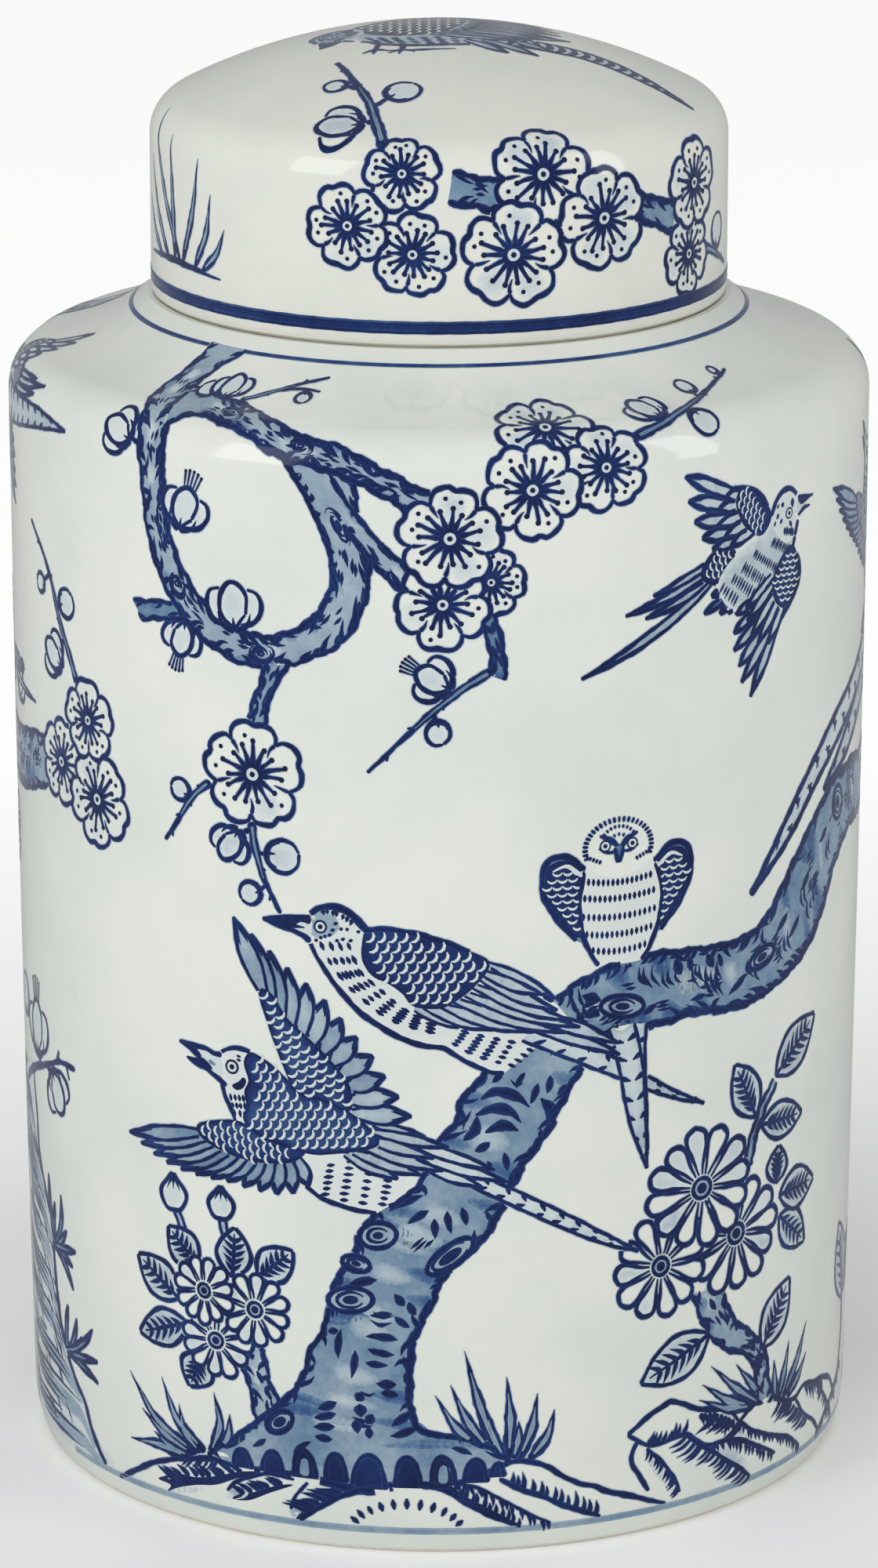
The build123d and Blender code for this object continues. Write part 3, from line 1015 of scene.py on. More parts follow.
def plume(b, root, tip, half, tone=0.3, sway=0, w=0.7, shaft=0, root_half=0.35, dark_tip=False):
    """One flight feather: a long spindle with a pointed end."""
    d = tip - root
    n = 1j * d / abs(d)

    def mid(t):
        return root + d * t + n * sway * abs(d) * 4 * t * (1 - t)

    up, down = ([mid(0) + s * half * root_half, mid(0.32) + s * half * 0.92, mid(0.6) + s * half * 0.95,
        mid(0.82) + s * half * 0.48, mid(1)] for s in (n, -n))
    for side in (up, down):
        b.stroke(side, w=(w * 0.8, w, w, w * 1.4, w * 0.9))
    if dark_tip:
        for q in (-0.45, 0.45):
            b.stroke([mid(0.66) + q * n * half, mid(0.8) + q * 0.7 * n * half, mid(0.94)],
                w=(0.15, w * 1.1, w), wobble=0)
    if shaft:
        b.stroke([mid(0.1), mid(0.5), mid(0.85)], w=(shaft, shaft * 0.8, 0.15), wobble=0)
    b.body(up + [up[-1]] + down[::-1], tone, tone + 0.08)


def plumes(b, rows, tone, **more):
    """Feathers, the nearest first. A row is (root, tip, half width)."""
    for root, tip, half in rows:
        plume(b, root, tip, half, tone, **more)


def fan(b, roots, tips, n, fat, tone, **more):
    """Row of plumes from one line to another."""
    roots, tips = curve(roots), curve(tips)
    for i in range(n):
        t = i / (n - 1)
        beside = max(0, t - 1 / (n - 1)) if t > 0.5 else min(1, t + 1 / (n - 1))
        root, (tip, other) = along(roots, [t])[0], along(tips, [t, beside])
        plume(b, root, tip, abs(other - tip) * fat, tone + b.j(0.06), **more)


def tail(b, left, right, marks=0, tone=0.16, w=0.8, wedges=0):
    """Long tail feather between two edges, with small side marks or dark wedges."""
    left, right = curve(left), curve(right)
    for i in range(wedges):
        t = (i + 0.4) / wedges
        near, far = (left, right) if i % 2 else (right, left)
        a, a2, c = along(near, [t, t + 0.42 / wedges, t + 0.3 / wedges])
        start, across, stop = along(far, [t, t + 0.3 / wedges, t + 0.5 / wedges])
        c = c + (across - c) * 0.6
        b.fill([a, a, c, c, a2, a2], 0.92, level=1)
        b.stroke([start * 0.3 + a * 0.7, (stop + a2) / 2], w=(0.7, 0.3), wobble=0)
    for i in range(marks):
        t = (i + 0.6) / (marks + 0.4)
        for near, far in ((left, right), (right, left)):
            a, c = along(near, [t + b.j(0.01)])[0], along(far, [min(t + 0.08, 1)])[0]
            b.stroke([a, a + (c - a) * 0.2, a + (c - a) * b.j(0.36, 0.46)], w=(1.3, 1, 0.3), wobble=0)
    b.stroke(left, w=w, raw=True)
    b.stroke(right, w=w, raw=True)
    b.body(np.concatenate([left, right[::-1]]), tone, tone + 0.12, raw=True)


def head(b, eye, r):
    """A bird's eye: a pupil in a pale ring on a dark patch."""
    for size, ink, level in ((0.45, 1, 3), (0.8, 0.12, 2), (1.15, 0.95, 1)):
        b.dot(eye, r * size, ink, level)


# ---------------------------------------------------------------- the birds
def cuckoo(b, tails=2):
    """Long-tailed bird at rest, reaching for a twig."""
    b.piece = "birds"
    # bill
    b.fill([-41.4+153.7j, -38+154.6j, -34+155j, -29.8+155.4j, -29.8+153.6j, -32+153.9j, -34.6+152.2j,
        -38+152.6j], 0.97, level=1)
    b.stroke([-41.4+153.7j, -37.6+154.6j, -33.6+154.9j, -29.6+155.4j], w=(0.6, 1, 0.9))
    b.stroke([-41.4+153.7j, -37.8+152.7j, -34.4+151.8j, -31.4+150.8j, -29.6+149.4j], w=(0.6, 1.2, 1.1, 1.2))
    b.stroke([-34.2+152.8j, -31+152.7j], w=(1, 0.3))
    b.fill([-35+152.6j, -31+153.8j, -29+153j, -29.4+150.4j, -32+151.6j], 0.14)
    b.cover([-41.9+153.7j, -36+155.4j, -29.8+155.8j, -29.8+149.4j, -32+150.6j, -35.5+151.6j])
    # wing: round feathers at the shoulder, long ones behind
    scales(b, [-17+151j, -16.2+152.8j, -11+153.3j, -2+151.4j, 6+148.4j, 11+145.8j, 9.5+142j, 4.5+137.4j,
        0+135.2j, -5.5+135.6j, -8+138.4j, -11.5+141j, -15+142.5j, -17.3+146.5j], -35, 3.1)
    plumes(b, ((9+143.8j, 24+137.2j, 1.3), (8.8+142.4j, 27.5+133.2j, 1.35), (7+140.6j, 31+130.2j, 1.4),
        (5.2+138.6j, 33+128.6j, 1.4), (3+137j, 29.5+127.6j, 1.4), (0+135.8j, 22+128.4j, 1.5),
        (-3.5+135.4j, 14.5+129.4j, 1.6), (-5.5+134.8j, 8+130.6j, 1.6)), 0.2, sway=-0.02, w=0.65)
    plumes(b, ((10.5+145.6j, 27+136j, 1.2), (20+133j, 42.5+123.6j, 1.6), (18+131j, 43+120.8j, 1.5)), 0.2,
        sway=0.02, w=0.7)
    # tail feathers over the branch
    if tails > 1:
        tail(b, [40+127.5j, 42.6+118j, 45.6+104j, 50.4+92j], [46.5+128j, 48.8+118j, 49.8+106j, 50.4+92j],
            marks=7)
        tail(b, [44+128j, 44.2+119j, 47+107j, 49.6+98j], [49.6+127.5j, 49.4+119j, 50+108j, 50.4+96j], marks=5)
    if tails:
        tail(b, [22+130j, 34+125j, 48+116j, 58+109.6j, 66.5+105j], [19+126.6j, 30+121.4j, 43+115j, 56+108.6j,
            66.5+105j], marks=9)
    # head and breast
    head(b, -27.3+153.2j, 1.45)
    b.dot(-28.9+155.3j, 0.55, ink=0.12, level=3)
    b.fill([-30.2+155.6j, -28.8+157j, -27+156.4j, -25.8+155j, -24.6+154.4j, -25.6+153.8j, -27.2+154.8j,
        -28.8+153.8j, -30.2+153.2j], 0.95, level=1)
    fringe(b, [-27.6+157.2j, -25+157.4j, -22+156.6j, -19.4+155.2j], 1.5, gap=1.1, w=1.1, lean=0.2, side=-1)
    for z, w in ((-23.7+154.2j, 1.3), (-24.4+152.6j, 1.1), (-22.4+153j, 0.8), (-21+153j, 0.8),
            (-18.4+152.6j, 1), (-25.1+151.4j, 0.9), (-26.2+151j, 0.8), (-27.2+150.6j, 0.8),
            (-28.3+149.9j, 0.9), (-23.4+150.2j, 0.9), (-22+150.6j, 1), (-20.2+150.4j, 1.1),
            (-20.6+149.2j, 0.8)):
        b.stroke([z + 0.4j - 0.2, z - 0.4j + 0.2], w=(0.5, w, 0.5), wobble=0)
    bars(b, [-29+150.4j, -25+144j, -19+137j, -11+131.6j, 0+128.2j], [-20+150.6j, -17.6+143.4j, -12.4+139j,
        -6.6+134j, 0+132j], 9, (4, 5, 6, 5), 2, w=0.8)
    bars(b, [2+126.8j, 8+123.2j, 15+120.4j], [4.5+130j, 12+128j, 19+126.6j], 4, (5, 6, 6), 1.7, w=0.8)
    for t in np.linspace(0.12, 0.88, 6):
        z = (15.6+119.8j) * (1 - t) + (25+127.4j) * t
        b.stroke([z - cis(-24), z, z + cis(-24) * b.j(0.9, 1.3)], w=(0.3, 0.9, 0.3), wobble=0)
    b.fill([-31+154.6j, -28.4+156.8j, -24.4+156.2j, -22.8+153.6j, -25+151j, -29+150.8j], 0.34, 0.3,
        level=PATCH)
    outline = [-30+155.6j, -27.6+157.6j, -24+158.2j, -20+156.6j, -16.4+153j, -16.4+153j, -11+153.4j,
        -2+151.6j, 8+147.6j, 15+143.2j, 22.5+138j, 27+135j, 27+135j, 30+130j, 24+126j, 18.4+121.6j, 15+119j,
        15+119j, 11.6+119.4j, 6+122.2j, 1+125.4j, 1+125.4j, -5.6+126.4j, -12.8+129.8j, -19+134.2j,
        -24.4+140.4j, -28.4+146.4j, -30.4+151.4j, -30.4+151.4j]
    b.stroke(outline[:13], w=(1.1, 1.7, 1.3, 1.5, 1.3, 1.2, 1))
    b.stroke(outline[16:], w=(0.9, 1, 1.1, 1.25, 1.3, 1.2, 1, 0.8))
    b.body(outline, 0.07, 0.02)


def magpie(b):
    """Bird in flight seen from above, wings open, bill open."""
    b.piece = "birds"
    b.stroke([-64.4+120.7j, -60.6+120.3j, -57+120.2j, -54.6+119.4j, -52.4+119.4j], w=(0.7, 1.6, 1, 1.1, 1.2))
    b.stroke([-64.4+120.7j, -61+119.6j, -58.2+117.6j], w=(0.5, 1.4, 1.6))
    b.fill([-62.3+117.3j, -59+117.5j, -57.6+117.8j, -55.6+116.4j, -55+115.4j, -56.8+115.3j, -59.6+116j], 0.95,
        level=1)
    b.stroke([-62.3+117.3j, -59.2+116j, -56.6+115.2j, -53.6+113.6j, -51.2+112j], w=(0.5, 1.3, 1, 1.1, 1.1))
    b.stroke([-56+117.4j, -54.2+116.6j], w=(1.3, 0.5), ink=0.5, level=2)
    b.fill([-60+119.8j, -55+119.4j, -52.6+118.4j, -52.4+113.4j, -56+115.8j, -58+117.8j], 0.12)
    b.cover([-64.8+120.9j, -64.8+120.9j, -58+120.9j, -52.6+119.8j, -52.6+113j, -56.8+114.8j, -62.8+117.2j,
        -62.8+117.2j, -59+117.8j, -59+117.8j])
    # round feathers on the back and at the roots of the wings
    scales(b, [-44.8+120.8j, -42+119.8j, -38.8+118j, -35.4+115j, -33+112.6j, -27+111.6j, -21+109j,
        -16.5+105.6j, -14+102.4j, -17+100.6j, -22+99.6j, -29+98.6j, -36+99.6j, -43+101.6j, -46.6+104.6j,
        -45.6+107.6j, -46.2+111.4j, -45+114j, -46.2+118.2j], -30, 2.9, dark=0.74)
    scales(b, [-42.2+136j, -39.2+135.4j, -36+130.6j, -31.4+126.6j, -27.6+123.4j, -24+119.6j, -21+115.4j,
        -20.4+110.6j, -22.6+109.4j, -27.6+111.4j, -33.2+112.8j, -36.4+119.4j, -39.4+127j], -60, 2.9,
        dark=0.74)
    scales(b, [-59+101.2j, -53.4+103j, -48.6+103.6j, -42+101.8j, -36+99.8j, -31.6+98.8j, -34.6+96.2j,
        -40+95.2j, -46.6+95.2j, -53+96.4j, -58.4+98.6j], -172, 2.7, dark=0.74)
    # flight feathers
    fan(b, [-40.8+135.2j, -35.6+129.6j, -30+125j, -25.4+120.8j, -21.6+114.6j, -20.2+109j],
        [-48.8+153.2j, -41.3+147.5j, -34.6+142.2j, -29.4+138.6j, -24.6+134.2j, -20.6+129.6j, -17+125.4j,
        -13.4+121j, -11.6+117j, -8.6+112.8j, -6.2+108.8j], 12, fat=0.4, tone=0.3, w=0.75, dark_tip=True)
    fan(b, [-57.6+99.6j, -52+97.4j, -45+96j, -38.6+95.8j, -33.4+97.2j], [-81.2+94.6j, -75+91.8j, -69.6+90j,
        -64+89j, -58+88.6j, -51.6+88.6j, -46+87.8j, -41+87.4j, -35.6+87.6j, -30.6+90.2j], 13, fat=0.4,
        tone=0.34, w=0.75, dark_tip=True)
    # tail
    plumes(b, ((-18+103.4j, -1+98.8j, 1.4), (-19+101.6j, 1+95.6j, 1.5), (-20+99.6j, -4+94.6j, 1.5),
        (-16.4+105j, 2.4+101.4j, 1.3), (-22+99j, -9.4+93.6j, 1.5), (-15.4+106.6j, -3+103.8j, 1.1)), 0.22,
        w=0.7)
    plumes(b, ((-8+103j, 13+95.6j, 1.3), (-6+99.6j, 16+92.6j, 1.4), (-4+97j, 10+91.6j, 1.3)), 0.12, w=0.7)
    tail(b, [4+97j, 17+90.8j, 30+83.6j, 40+77.4j, 48.5+72j], [2+94.6j, 14+88.4j, 27+81.4j, 38.6+75.6j,
        48.5+72j], marks=10, tone=0.1)
    # head
    head(b, -49.7+116.9j, 1.6)
    b.fill([-49.8+112.4j, -48+113.6j, -46.8+114.8j, -46+114j, -46.8+112.2j, -48.6+111.4j], 0.94, level=1)
    for z in (-48+119.8j, -48+118.9j):
        b.stroke([z - 0.5, z + 0.7 - 0.2j], w=(0.3, 0.6, 0.3), wobble=0)
    bars(b, [-50.8+110.4j, -50.4+107.6j, -49.4+104.8j], [-46.4+110.6j, -45.8+107.8j, -46+105j], 3, (4, 4, 3),
        1.5, w=0.7)
    crown = [-53.2+119.6j, -50+121.4j, -46+121.4j, -41.6+119.4j, -36.6+116j, -33+112.6j]
    b.stroke(crown, w=(0.8, 1.1, 1.2, 1))
    b.stroke([-52.8+114j, -51.8+110j, -50+106.4j, -49+103.6j], w=(0.8, 1.1, 1, 0.7))
    skin = crown + [crown[-1], -34+104j, -49+103.6j, -49+103.6j, -51.8+110j, -52.8+114j]
    b.body(skin, 0.07, 0.02)
    # belly
    bars(b, [-27.4+96j, -19+98j, -9+94.4j], [-29+88.6j, -20+86.6j, -11+86.6j], 4, (6, 7, 6), 1.9, skew=6)
    belly = [-31.4+90.4j, -27+87.6j, -20.6+85.8j, -14.4+85j, -14.4+85j, -6+91.4j, -9+97j, -22+100j, -32+97.6j]
    b.stroke(belly[:4], w=(0.9, 1.1, 0.9))
    b.body(belly, 0.06, 0.02)


def fledgling(b):
    """Round young bird, facing the viewer."""
    b.piece = "birds"
    c = 42 + 170.6j
    for s in (1, -1):
        head(b, c + s * 3.4 + 0.6j, 1.3)
        b.stroke([c + 0.4 - 0.4j, c + s * 2.2 + 1.9j, c + s * 4.8 + 3.2j], w=(0.9, 1.4, 0.5))
        b.stroke([c + s * 1.2 - 1j, c + s * 3.2 - 0.9j, c + s * 5 + 0.2j], w=(0.6, 0.7, 0.3))
    b.fill([c - 1 - 0.2j, c + 0.4j, c + 1 - 0.2j, c + 0.5 - 2.2j, c - 3.2j, c - 0.5 - 2.2j], 0.6, level=2)
    b.stroke([c - 1.1 + 0j, c - 0.7 - 1.8j, c - 3.6j, c + 0.7 - 1.8j, c + 1.1 + 0j],
        w=(0.7, 0.9, 1.1, 0.9, 0.7), level=3)
    for low, sweep, n, mid, w, h, reach, thick in ((-18, 216, 27, c, 8.3, 6.6, 0.75, 0.4),
            (38, 104, 9, c + 0.6j, 4.6, 4.6 * 0.95, 0.5, 0.3), (38, 104, 5, c + 0.6j, 2.6, 2.6 * 0.95, 0.5,
            0.3)):
        for i in range(n):
            a = low + sweep * i / (n - 1)
            z = oval(mid, w, h, [a])[0]
            b.stroke([z - reach * cis(a), z + reach * cis(a)], w=(thick, thick + 0.3, thick), wobble=0)
    for s in (1, -1):
        for k in range(5):
            z = c + s * (4.4 + 0.8 * k) - (2.6 - 0.35 * k) * 1j
            b.stroke([z, z + s * 0.5 - 1.0j], w=(0.3, 0.65, 0.2), wobble=0)
    b.cover(oval(c, 9, 7.2, range(0, 360, 30)))
    for i, (y, half, n) in enumerate(((163.2, 8.4, 14), (159.4, 9.3, 15), (155, 9.6, 15), (150.8, 8.7, 14),
            (146.8, 7.2, 11))):
        for k in range(n):
            q = -1 + 2 * (k + 0.5) / n
            z = complex(42.4 + half * q, y - 0.9 * (1 - q * q))
            b.stroke([z - 0.9j, z + 0.9j], w=(0.25, 0.85, 0.25), wobble=0)
    body = [33.6+165.6j, 32.4+158j, 33.2+151j, 36+144.6j, 37.4+143j, 48+143j, 50.2+146j, 52.6+152j, 53.4+159j,
        51.4+165.6j, 47+166j, 38+166j]
    b.stroke(body[:5], w=(0.8, 1, 1.2, 1.1, 0.9))
    b.stroke(body[5:10], w=(0.9, 1.1, 1.2, 1, 0.8))
    b.body(body, 0.06, 0.02)
    for s in (1, -1):
        wing = [42.4 + s * -8.6 + 166.2j, 42.4 + s * -13 + 169.6j, 42.4 + s * -17.6 + 168.6j, 42.4 + s * -18.7
            + 162.6j, 42.4 + s * -15.8 + 155.6j, 42.4 + s * -10.6 + 149.4j, 42.4 + s * -8.4 + 150j, 42.4
            + s * -9.6 + 158j]
        b.stroke(wing[:6], w=(0.9, 1.4, 1.4, 1.6, 1.2, 0.9))
        b.stroke([42.4 + s * -9.4 + 164.6j, 42.4 + s * -13 + 167.4j, 42.4 + s * -16.4 + 166.2j],
            w=(0.7, 0.8, 0.3), ink=0.1, level=2)
        inner = curve(wing, True)
        mid = inner.mean()
        scales(b, mid + (inner - mid) * 0.86, -90, 2.5, dark=0.86, raw=True)
        b.body(wing, 0.5)


def swallow(b):
    """Small bird banking to the right with a long forked tail."""
    b.piece = "birds"
    # bill
    b.stroke([95+244.2j, 98.2+243.8j, 101.8+243.6j], w=(0.8, 1.1, 0.3))
    b.stroke([95.2+240j, 97.6+241.2j, 100.4+241.4j], w=(0.7, 0.9, 0.3))
    b.fill([95.2+244j, 98.4+243.9j, 101+243.5j, 98+242.5j, 96.2+242.4j], 0.92, level=1)
    b.fill([94.8+244j, 98+243.6j, 98.4+241.4j, 95.4+239.4j], 0.2)
    b.cover([94.6+244.8j, 98.4+244.4j, 102+243.6j, 98.4+240.8j, 94.6+239.4j])
    # head
    head(b, 91.6+241.2j, 1.25)
    for z, far, w in ((92.8+244.6j, 0.1-2.4j, 1.5), (94.4+243.6j, -0.3-2.6j, 0.9),
            (89.3+244.2j, -0.5-1.2j, 1.3), (87.6+241.9j, -0.6-1.4j, 1), (89+240.4j, -0.8-1.2j, 0.8),
            (91.8+239.4j, 0.9-1.6j, 0.9), (87.6+244j, -0.6-1j, 0.7), (86.6+240.2j, -0.6-1.2j, 0.8)):
        b.stroke([z, z + far / 2, z + far], w=(0.3, w, 0.3), wobble=0)
    bars(b, [89.4+238.6j, 89.6+236j], [93.8+237.4j, 93.4+235.4j], 1, 5, 1.8, w=0.7)
    skull = [85+241.6j, 86.6+244.8j, 88.6+246.6j, 91.4+247j, 94+245.6j, 95.2+243.4j, 95.2+239j, 94+235.4j,
        90+234.6j, 86+238.4j]
    b.stroke(skull[:6], w=(0.9, 1.2, 1.2, 1.1, 0.9))
    b.stroke(skull[6:8], w=(0.9, 1))
    b.body(skull, 0.14, 0.06)
    # upper wing
    scales(b, [84.6+241.6j, 82.6+245.2j, 79.6+248.2j, 74.8+249.6j, 73.4+246.8j, 74.6+243.6j, 77+240.4j,
        81.6+238.2j], 165, 2.2, dark=0.8)
    plumes(b, ((75.6+248.4j, 69.8+248.8j, 1.25), (74.6+246.2j, 67.6+246.4j, 1.3),
        (75.8+243.8j, 67.4+242.4j, 1.35), (77.4+241.6j, 69.4+239.4j, 1.3), (79.4+239.8j, 71.4+237j, 1.2)),
        0.16, w=0.85, root_half=0.7)
    plumes(b, ((72+249j, 58.1+255.2j, 1.5), (71+246.8j, 59+249.3j, 1.5), (71+243.4j, 60.8+244.2j, 1.5),
        (72.4+240.4j, 63+240.2j, 1.35), (74+238.2j, 66+237j, 1.2)), 0.2, w=0.95, root_half=0.8)
    b.fill([74+249.6j, 66+250.6j, 64+247.2j, 65+242.6j, 68+238.4j, 76+237.8j], 0.9)
    b.stroke([58.1+255.2j, 62+253j, 66+251.5j, 70.6+250.4j, 74.8+250j, 79.4+248.6j, 82.4+245.8j, 84.9+241.8j],
        w=(0.5, 1.1, 1.2, 1.2, 0.9))
    # lower wing
    scales(b, [92.6+233.2j, 95.2+229.8j, 95.6+225.8j, 93.4+221.6j, 90.4+219.4j, 87+221.8j, 86+225.8j,
        88+230j], -95, 2.2, dark=0.8)
    plumes(b, ((90.6+221j, 84.4+211.6j, 1.2), (88.4+221.8j, 80.8+212.4j, 1.2), (87+223.4j, 78.4+214.6j, 1.2),
        (86+225.6j, 77+218.4j, 1.2), (85.6+227.6j, 76.6+221.4j, 1.1)), 0.16, w=0.8, root_half=0.6)
    plumes(b, ((88+216.6j, 78.6+200.3j, 1.3), (84.6+214.4j, 75.6+204.2j, 1.3), (82+214.8j, 74.6+208.2j, 1.3),
        (80.6+217.4j, 73+212.2j, 1.2), (80+220.4j, 72.8+216.4j, 1.1), (79+223j, 73.6+220.6j, 1)), 0.22,
        w=0.85, root_half=0.7)
    b.fill([88+218j, 82+209j, 78.6+208j, 76.6+214j, 78+220j, 84+223j], 0.9)
    b.stroke([93.2+232.8j, 95.9+229.2j, 96.2+225.2j, 93.6+221j, 89.6+217.2j, 85.4+212.4j, 81.6+206.8j,
        78.6+200.3j], w=(0.8, 1.1, 1.2, 1.1, 1, 0.5))
    # breast and belly: rows of close ticks
    for one, two, n, reach in ((85.4+235.6j, 92.4+232.4j, 11, 2.5), (79+234.2j, 88.4+228.2j, 13, 2.2),
            (75.4+231.6j, 84.4+225.8j, 12, 2.7), (72.2+229.6j, 80+224j, 10, 2.7),
            (68.6+228j, 74+223.6j, 6, 2.6)):
        for k in range(n):
            z = one + (two - one) * (k + 0.5) / n + b.j(0.15)
            d = reach * b.j(0.85, 1.15) / 2 * cis(236)
            b.stroke([z - d, z + d], w=(0.25, 0.6, 0.2), wobble=0)
    trunk = [85+241.6j, 84+239.4j, 80+237.4j, 74+235j, 70+232j, 68+228.6j, 69.6+224.4j, 73.6+221.6j,
        79+222.4j, 86+225.4j, 91.6+230.4j, 93.4+233j, 94+236j]
    b.stroke([94+235.4j, 93.2+232.6j], w=(0.9, 0.9))
    b.body(trunk, 0.22, 0.06)
    for root, tip in ((71+225.6j, 63.9+222.3j), (72.6+225j, 68.5+221.6j), (74.6+224.6j, 71+221.2j),
            (76.6+224j, 73.6+220.4j), (71+228j, 66+226j)):
        plume(b, root, tip, 0.8, 0.5, w=0.9, root_half=0.8)
    scales(b, [72.6+235.8j, 68.4+236.8j, 64.8+234.8j, 63.2+231.4j, 66.4+229j, 70.6+229.4j, 72.6+232.4j], 200,
        2.2)
    plumes(b, ((67+231j, 48+223.4j, 0.9), (68+233.6j, 43+224.6j, 0.9), (70+232.4j, 32.4+210.9j, 1.1),
        (68+235.4j, 50+228.4j, 0.9), (66+229.4j, 54+226.6j, 0.8)), 0.22, w=0.8, sway=0.03)


# ---------------------------------------------------------------- trees and ground
def plum_branch(b):
    """Branch that hangs from the neck line, loops and flowers."""
    b.piece = "plum"
    for row in ((2.4+244.8j, 11.6, 12), (0.8+229.6j, 10.6, 50), (-43.5+187.6j, 12.3, 16),
            (20.9+255.4j, 11.2, -8), (38.1+259.4j, 10, 30), (25.4+270.6j, 12, 62, 0.8),
            (11.6+234.6j, 7.8, 0, 1)):
        blossom(b, *row)
    for row in ((53.8+274.6j, 5.2, 118, 1), (72.2+281.2j, 2.8, 100), (66.3+267.4j, 3.8, -70),
            (87.6+284.6j, 1.6, 110)):
        bud(b, *row)
    twig(b, [45+265.4j, 51+267j, 57+269.2j, 68.3+274.2j, 80+279.4j, 92.6+284j], 2.3, 0.8, thorns=4)
    stalks(b, ((64.6+272.4j, 64.9+270.6j, 1, 0.8), (72.2+276.2j, 72+278.6j, 1, 0.8)))
    # hanging spur under the blossoms
    for row in ((-1.2+212.2j, 4.6, 150, 2), (-0.2+199.8j, 2.9, -88)):
        bud(b, *row)
    twig(b, [12.6+214.6j, 5.2+210j, -2.6+203.6j, -9+197.4j, -16.2+190.2j], 2, 0.8, thorns=4)
    b.stroke([-1.6+204.6j, -0.6+202.6j], w=(1.1, 0.9))
    limb(b, [9+227j, 11+221j, 11.6+215.6j, 10.6+213.4j], [12.6+226.6j, 14+221j, 14.8+216j, 14.6+211.8j],
        tone=0.5, busy=0.8, edge=0.9)
    # twig under the lone blossom, down to the bird's bill
    for row in ((-49.4+170.4j, 4.4, 240, 1, 0.36), (-36.2+169j, 4.1, -8, 0, 0.3),
            (-44.4+159.4j, 2.8, 195, 0, 0.3)):
        bud(b, *row)
    twig(b, [-43.9+176.4j, -42.9+170j, -41+163.6j, -38.2+158j, -36.8+155.4j], 2, 0.9, thorns=3)
    stalks(b, ((-42.6+169.4j, -40+169j, 1, 0.9), (-40.4+161.8j, -41.8+160.4j, 1, 0.8),
        (-43.6+174.4j, -46+173.8j, 1.2, 1)))
    bud(b, -62.9+181.3j, 2.7, aim=150, tint=0.3)
    b.stroke([-60+179.2j, -61.2+180.2j], w=(1, 0.8))
    twig(b, [-54.4+184.4j, -58+181.6j, -61.4+177.4j, -64.4+172.6j, -67.6+168.6j], 1.8, 0.9, thorns=4)
    limb(b, [-39.6+214j, -42+207.6j, -43.6+203j, -45+199j], [-34.2+214.4j, -37.8+208.8j, -39.6+203.6j,
        -40.4+199j], tone=0.38, busy=1.2, edge=0.95)
    # buds along the loop
    for row in ((-60.6+247.4j, 5.3, 72, 2), (-47.8+226.4j, 5.8, 92, 1), (-61.8+217.2j, 4.6, -104, 2),
            (-81.2+262.6j, 5, 158, 1, 0.14)):
        bud(b, *row)
    b.stroke([-74.4+260.6j, -76.8+261.4j], w=(1.2, 1))
    for row in ((-60.6+283.6j, 5, 96, 1), (-66.6+281.6j, 3.4, 140, 0), (-37.8+282.6j, 2.2, -90)):
        bud(b, *row)
    twig(b, [-54.6+279j, -48+283.4j, -40.6+287.6j, -32.9+290.6j], 1.7, 0.8, thorns=2)
    twig(b, [-45.6+284.6j, -40.4+285.8j, -33.8+285.4j], 1.2, 0.7, thorns=0)
    limb(b, [-24.6+259.2j, -20.6+252.6j, -15.8+246.6j, -10.6+241j, -6.6+238.6j],
        [-21.6+247.6j, -18.4+243.6j, -15+239.4j, -10+234j, -8+232.6j], tone=0.32, busy=0.7, edge=0.95)
    limb(b, [-72+281.6j, -61.4+279.6j, -51.9+277.4j, -42.4+272.4j, -32.9+267.4j, -23.3+265.4j, -15.7+261.8j,
        -6+257j, 1+253.6j], [-68.4+265.6j, -61.4+270.2j, -53.8+268.8j, -45.2+266.4j, -37.6+262.2j, -27+260.2j,
        -18+257.2j, -9+252.4j, -3.6+248j], tone=0.33, knots=((0.24, 0.55, 1.6), (0.55, 0.4, 1.3)), busy=1.3,
        edge=1.1)
    limb(b, [-81+296.4j, -81.4+286j, -80.6+277j, -76.8+269.6j, -74.4+262j, -73+252.4j, -71.9+243j,
        -69.4+234.4j, -64.8+226.4j, -58+219.4j, -48+214j, -38.6+213.3j, -29+216.2j, -21.2+221j, -16.8+229.6j,
        -15.6+240j, -18+249j, -19+259j], [-65.6+296j, -71.2+288.6j, -71.8+281j, -70.4+271.4j, -67.1+264.8j,
        -66.7+257j, -66.2+246.8j, -64.2+238.8j, -59.5+230.5j, -52.9+224j, -45.2+220.6j, -36.7+220.6j,
        -29+225j, -24.4+232.4j, -24.4+240j, -27.4+248j, -31+255j, -37+263.6j], tone=0.32,
        knots=((0.45, 0.5, 1.4), (0.62, 0.45, 1.4), (0.9, 0.5, 1.8)), busy=1.15, edge=1)
    limb(b, [-62+225.4j, -68+224.6j, -76.4+223.8j], [-60.6+221j, -67+221j, -73.6+219.4j], tone=0.48, busy=0.6,
        edge=0.95)


def ticks(b, rows):
    """Lens shaped touches. A row is (centre, length, direction, width)."""
    for c, reach, aim, w in rows:
        d = cis(aim) * reach / 2
        side = 1j * d * b.j(0.12)
        b.stroke([c - d, c - d / 2 + side, c + side, c + d / 2 + side, c + d],
            w=(0.12, 0.95 * w, 1.2 * w, 1.05 * w, 0.12), wobble=0)


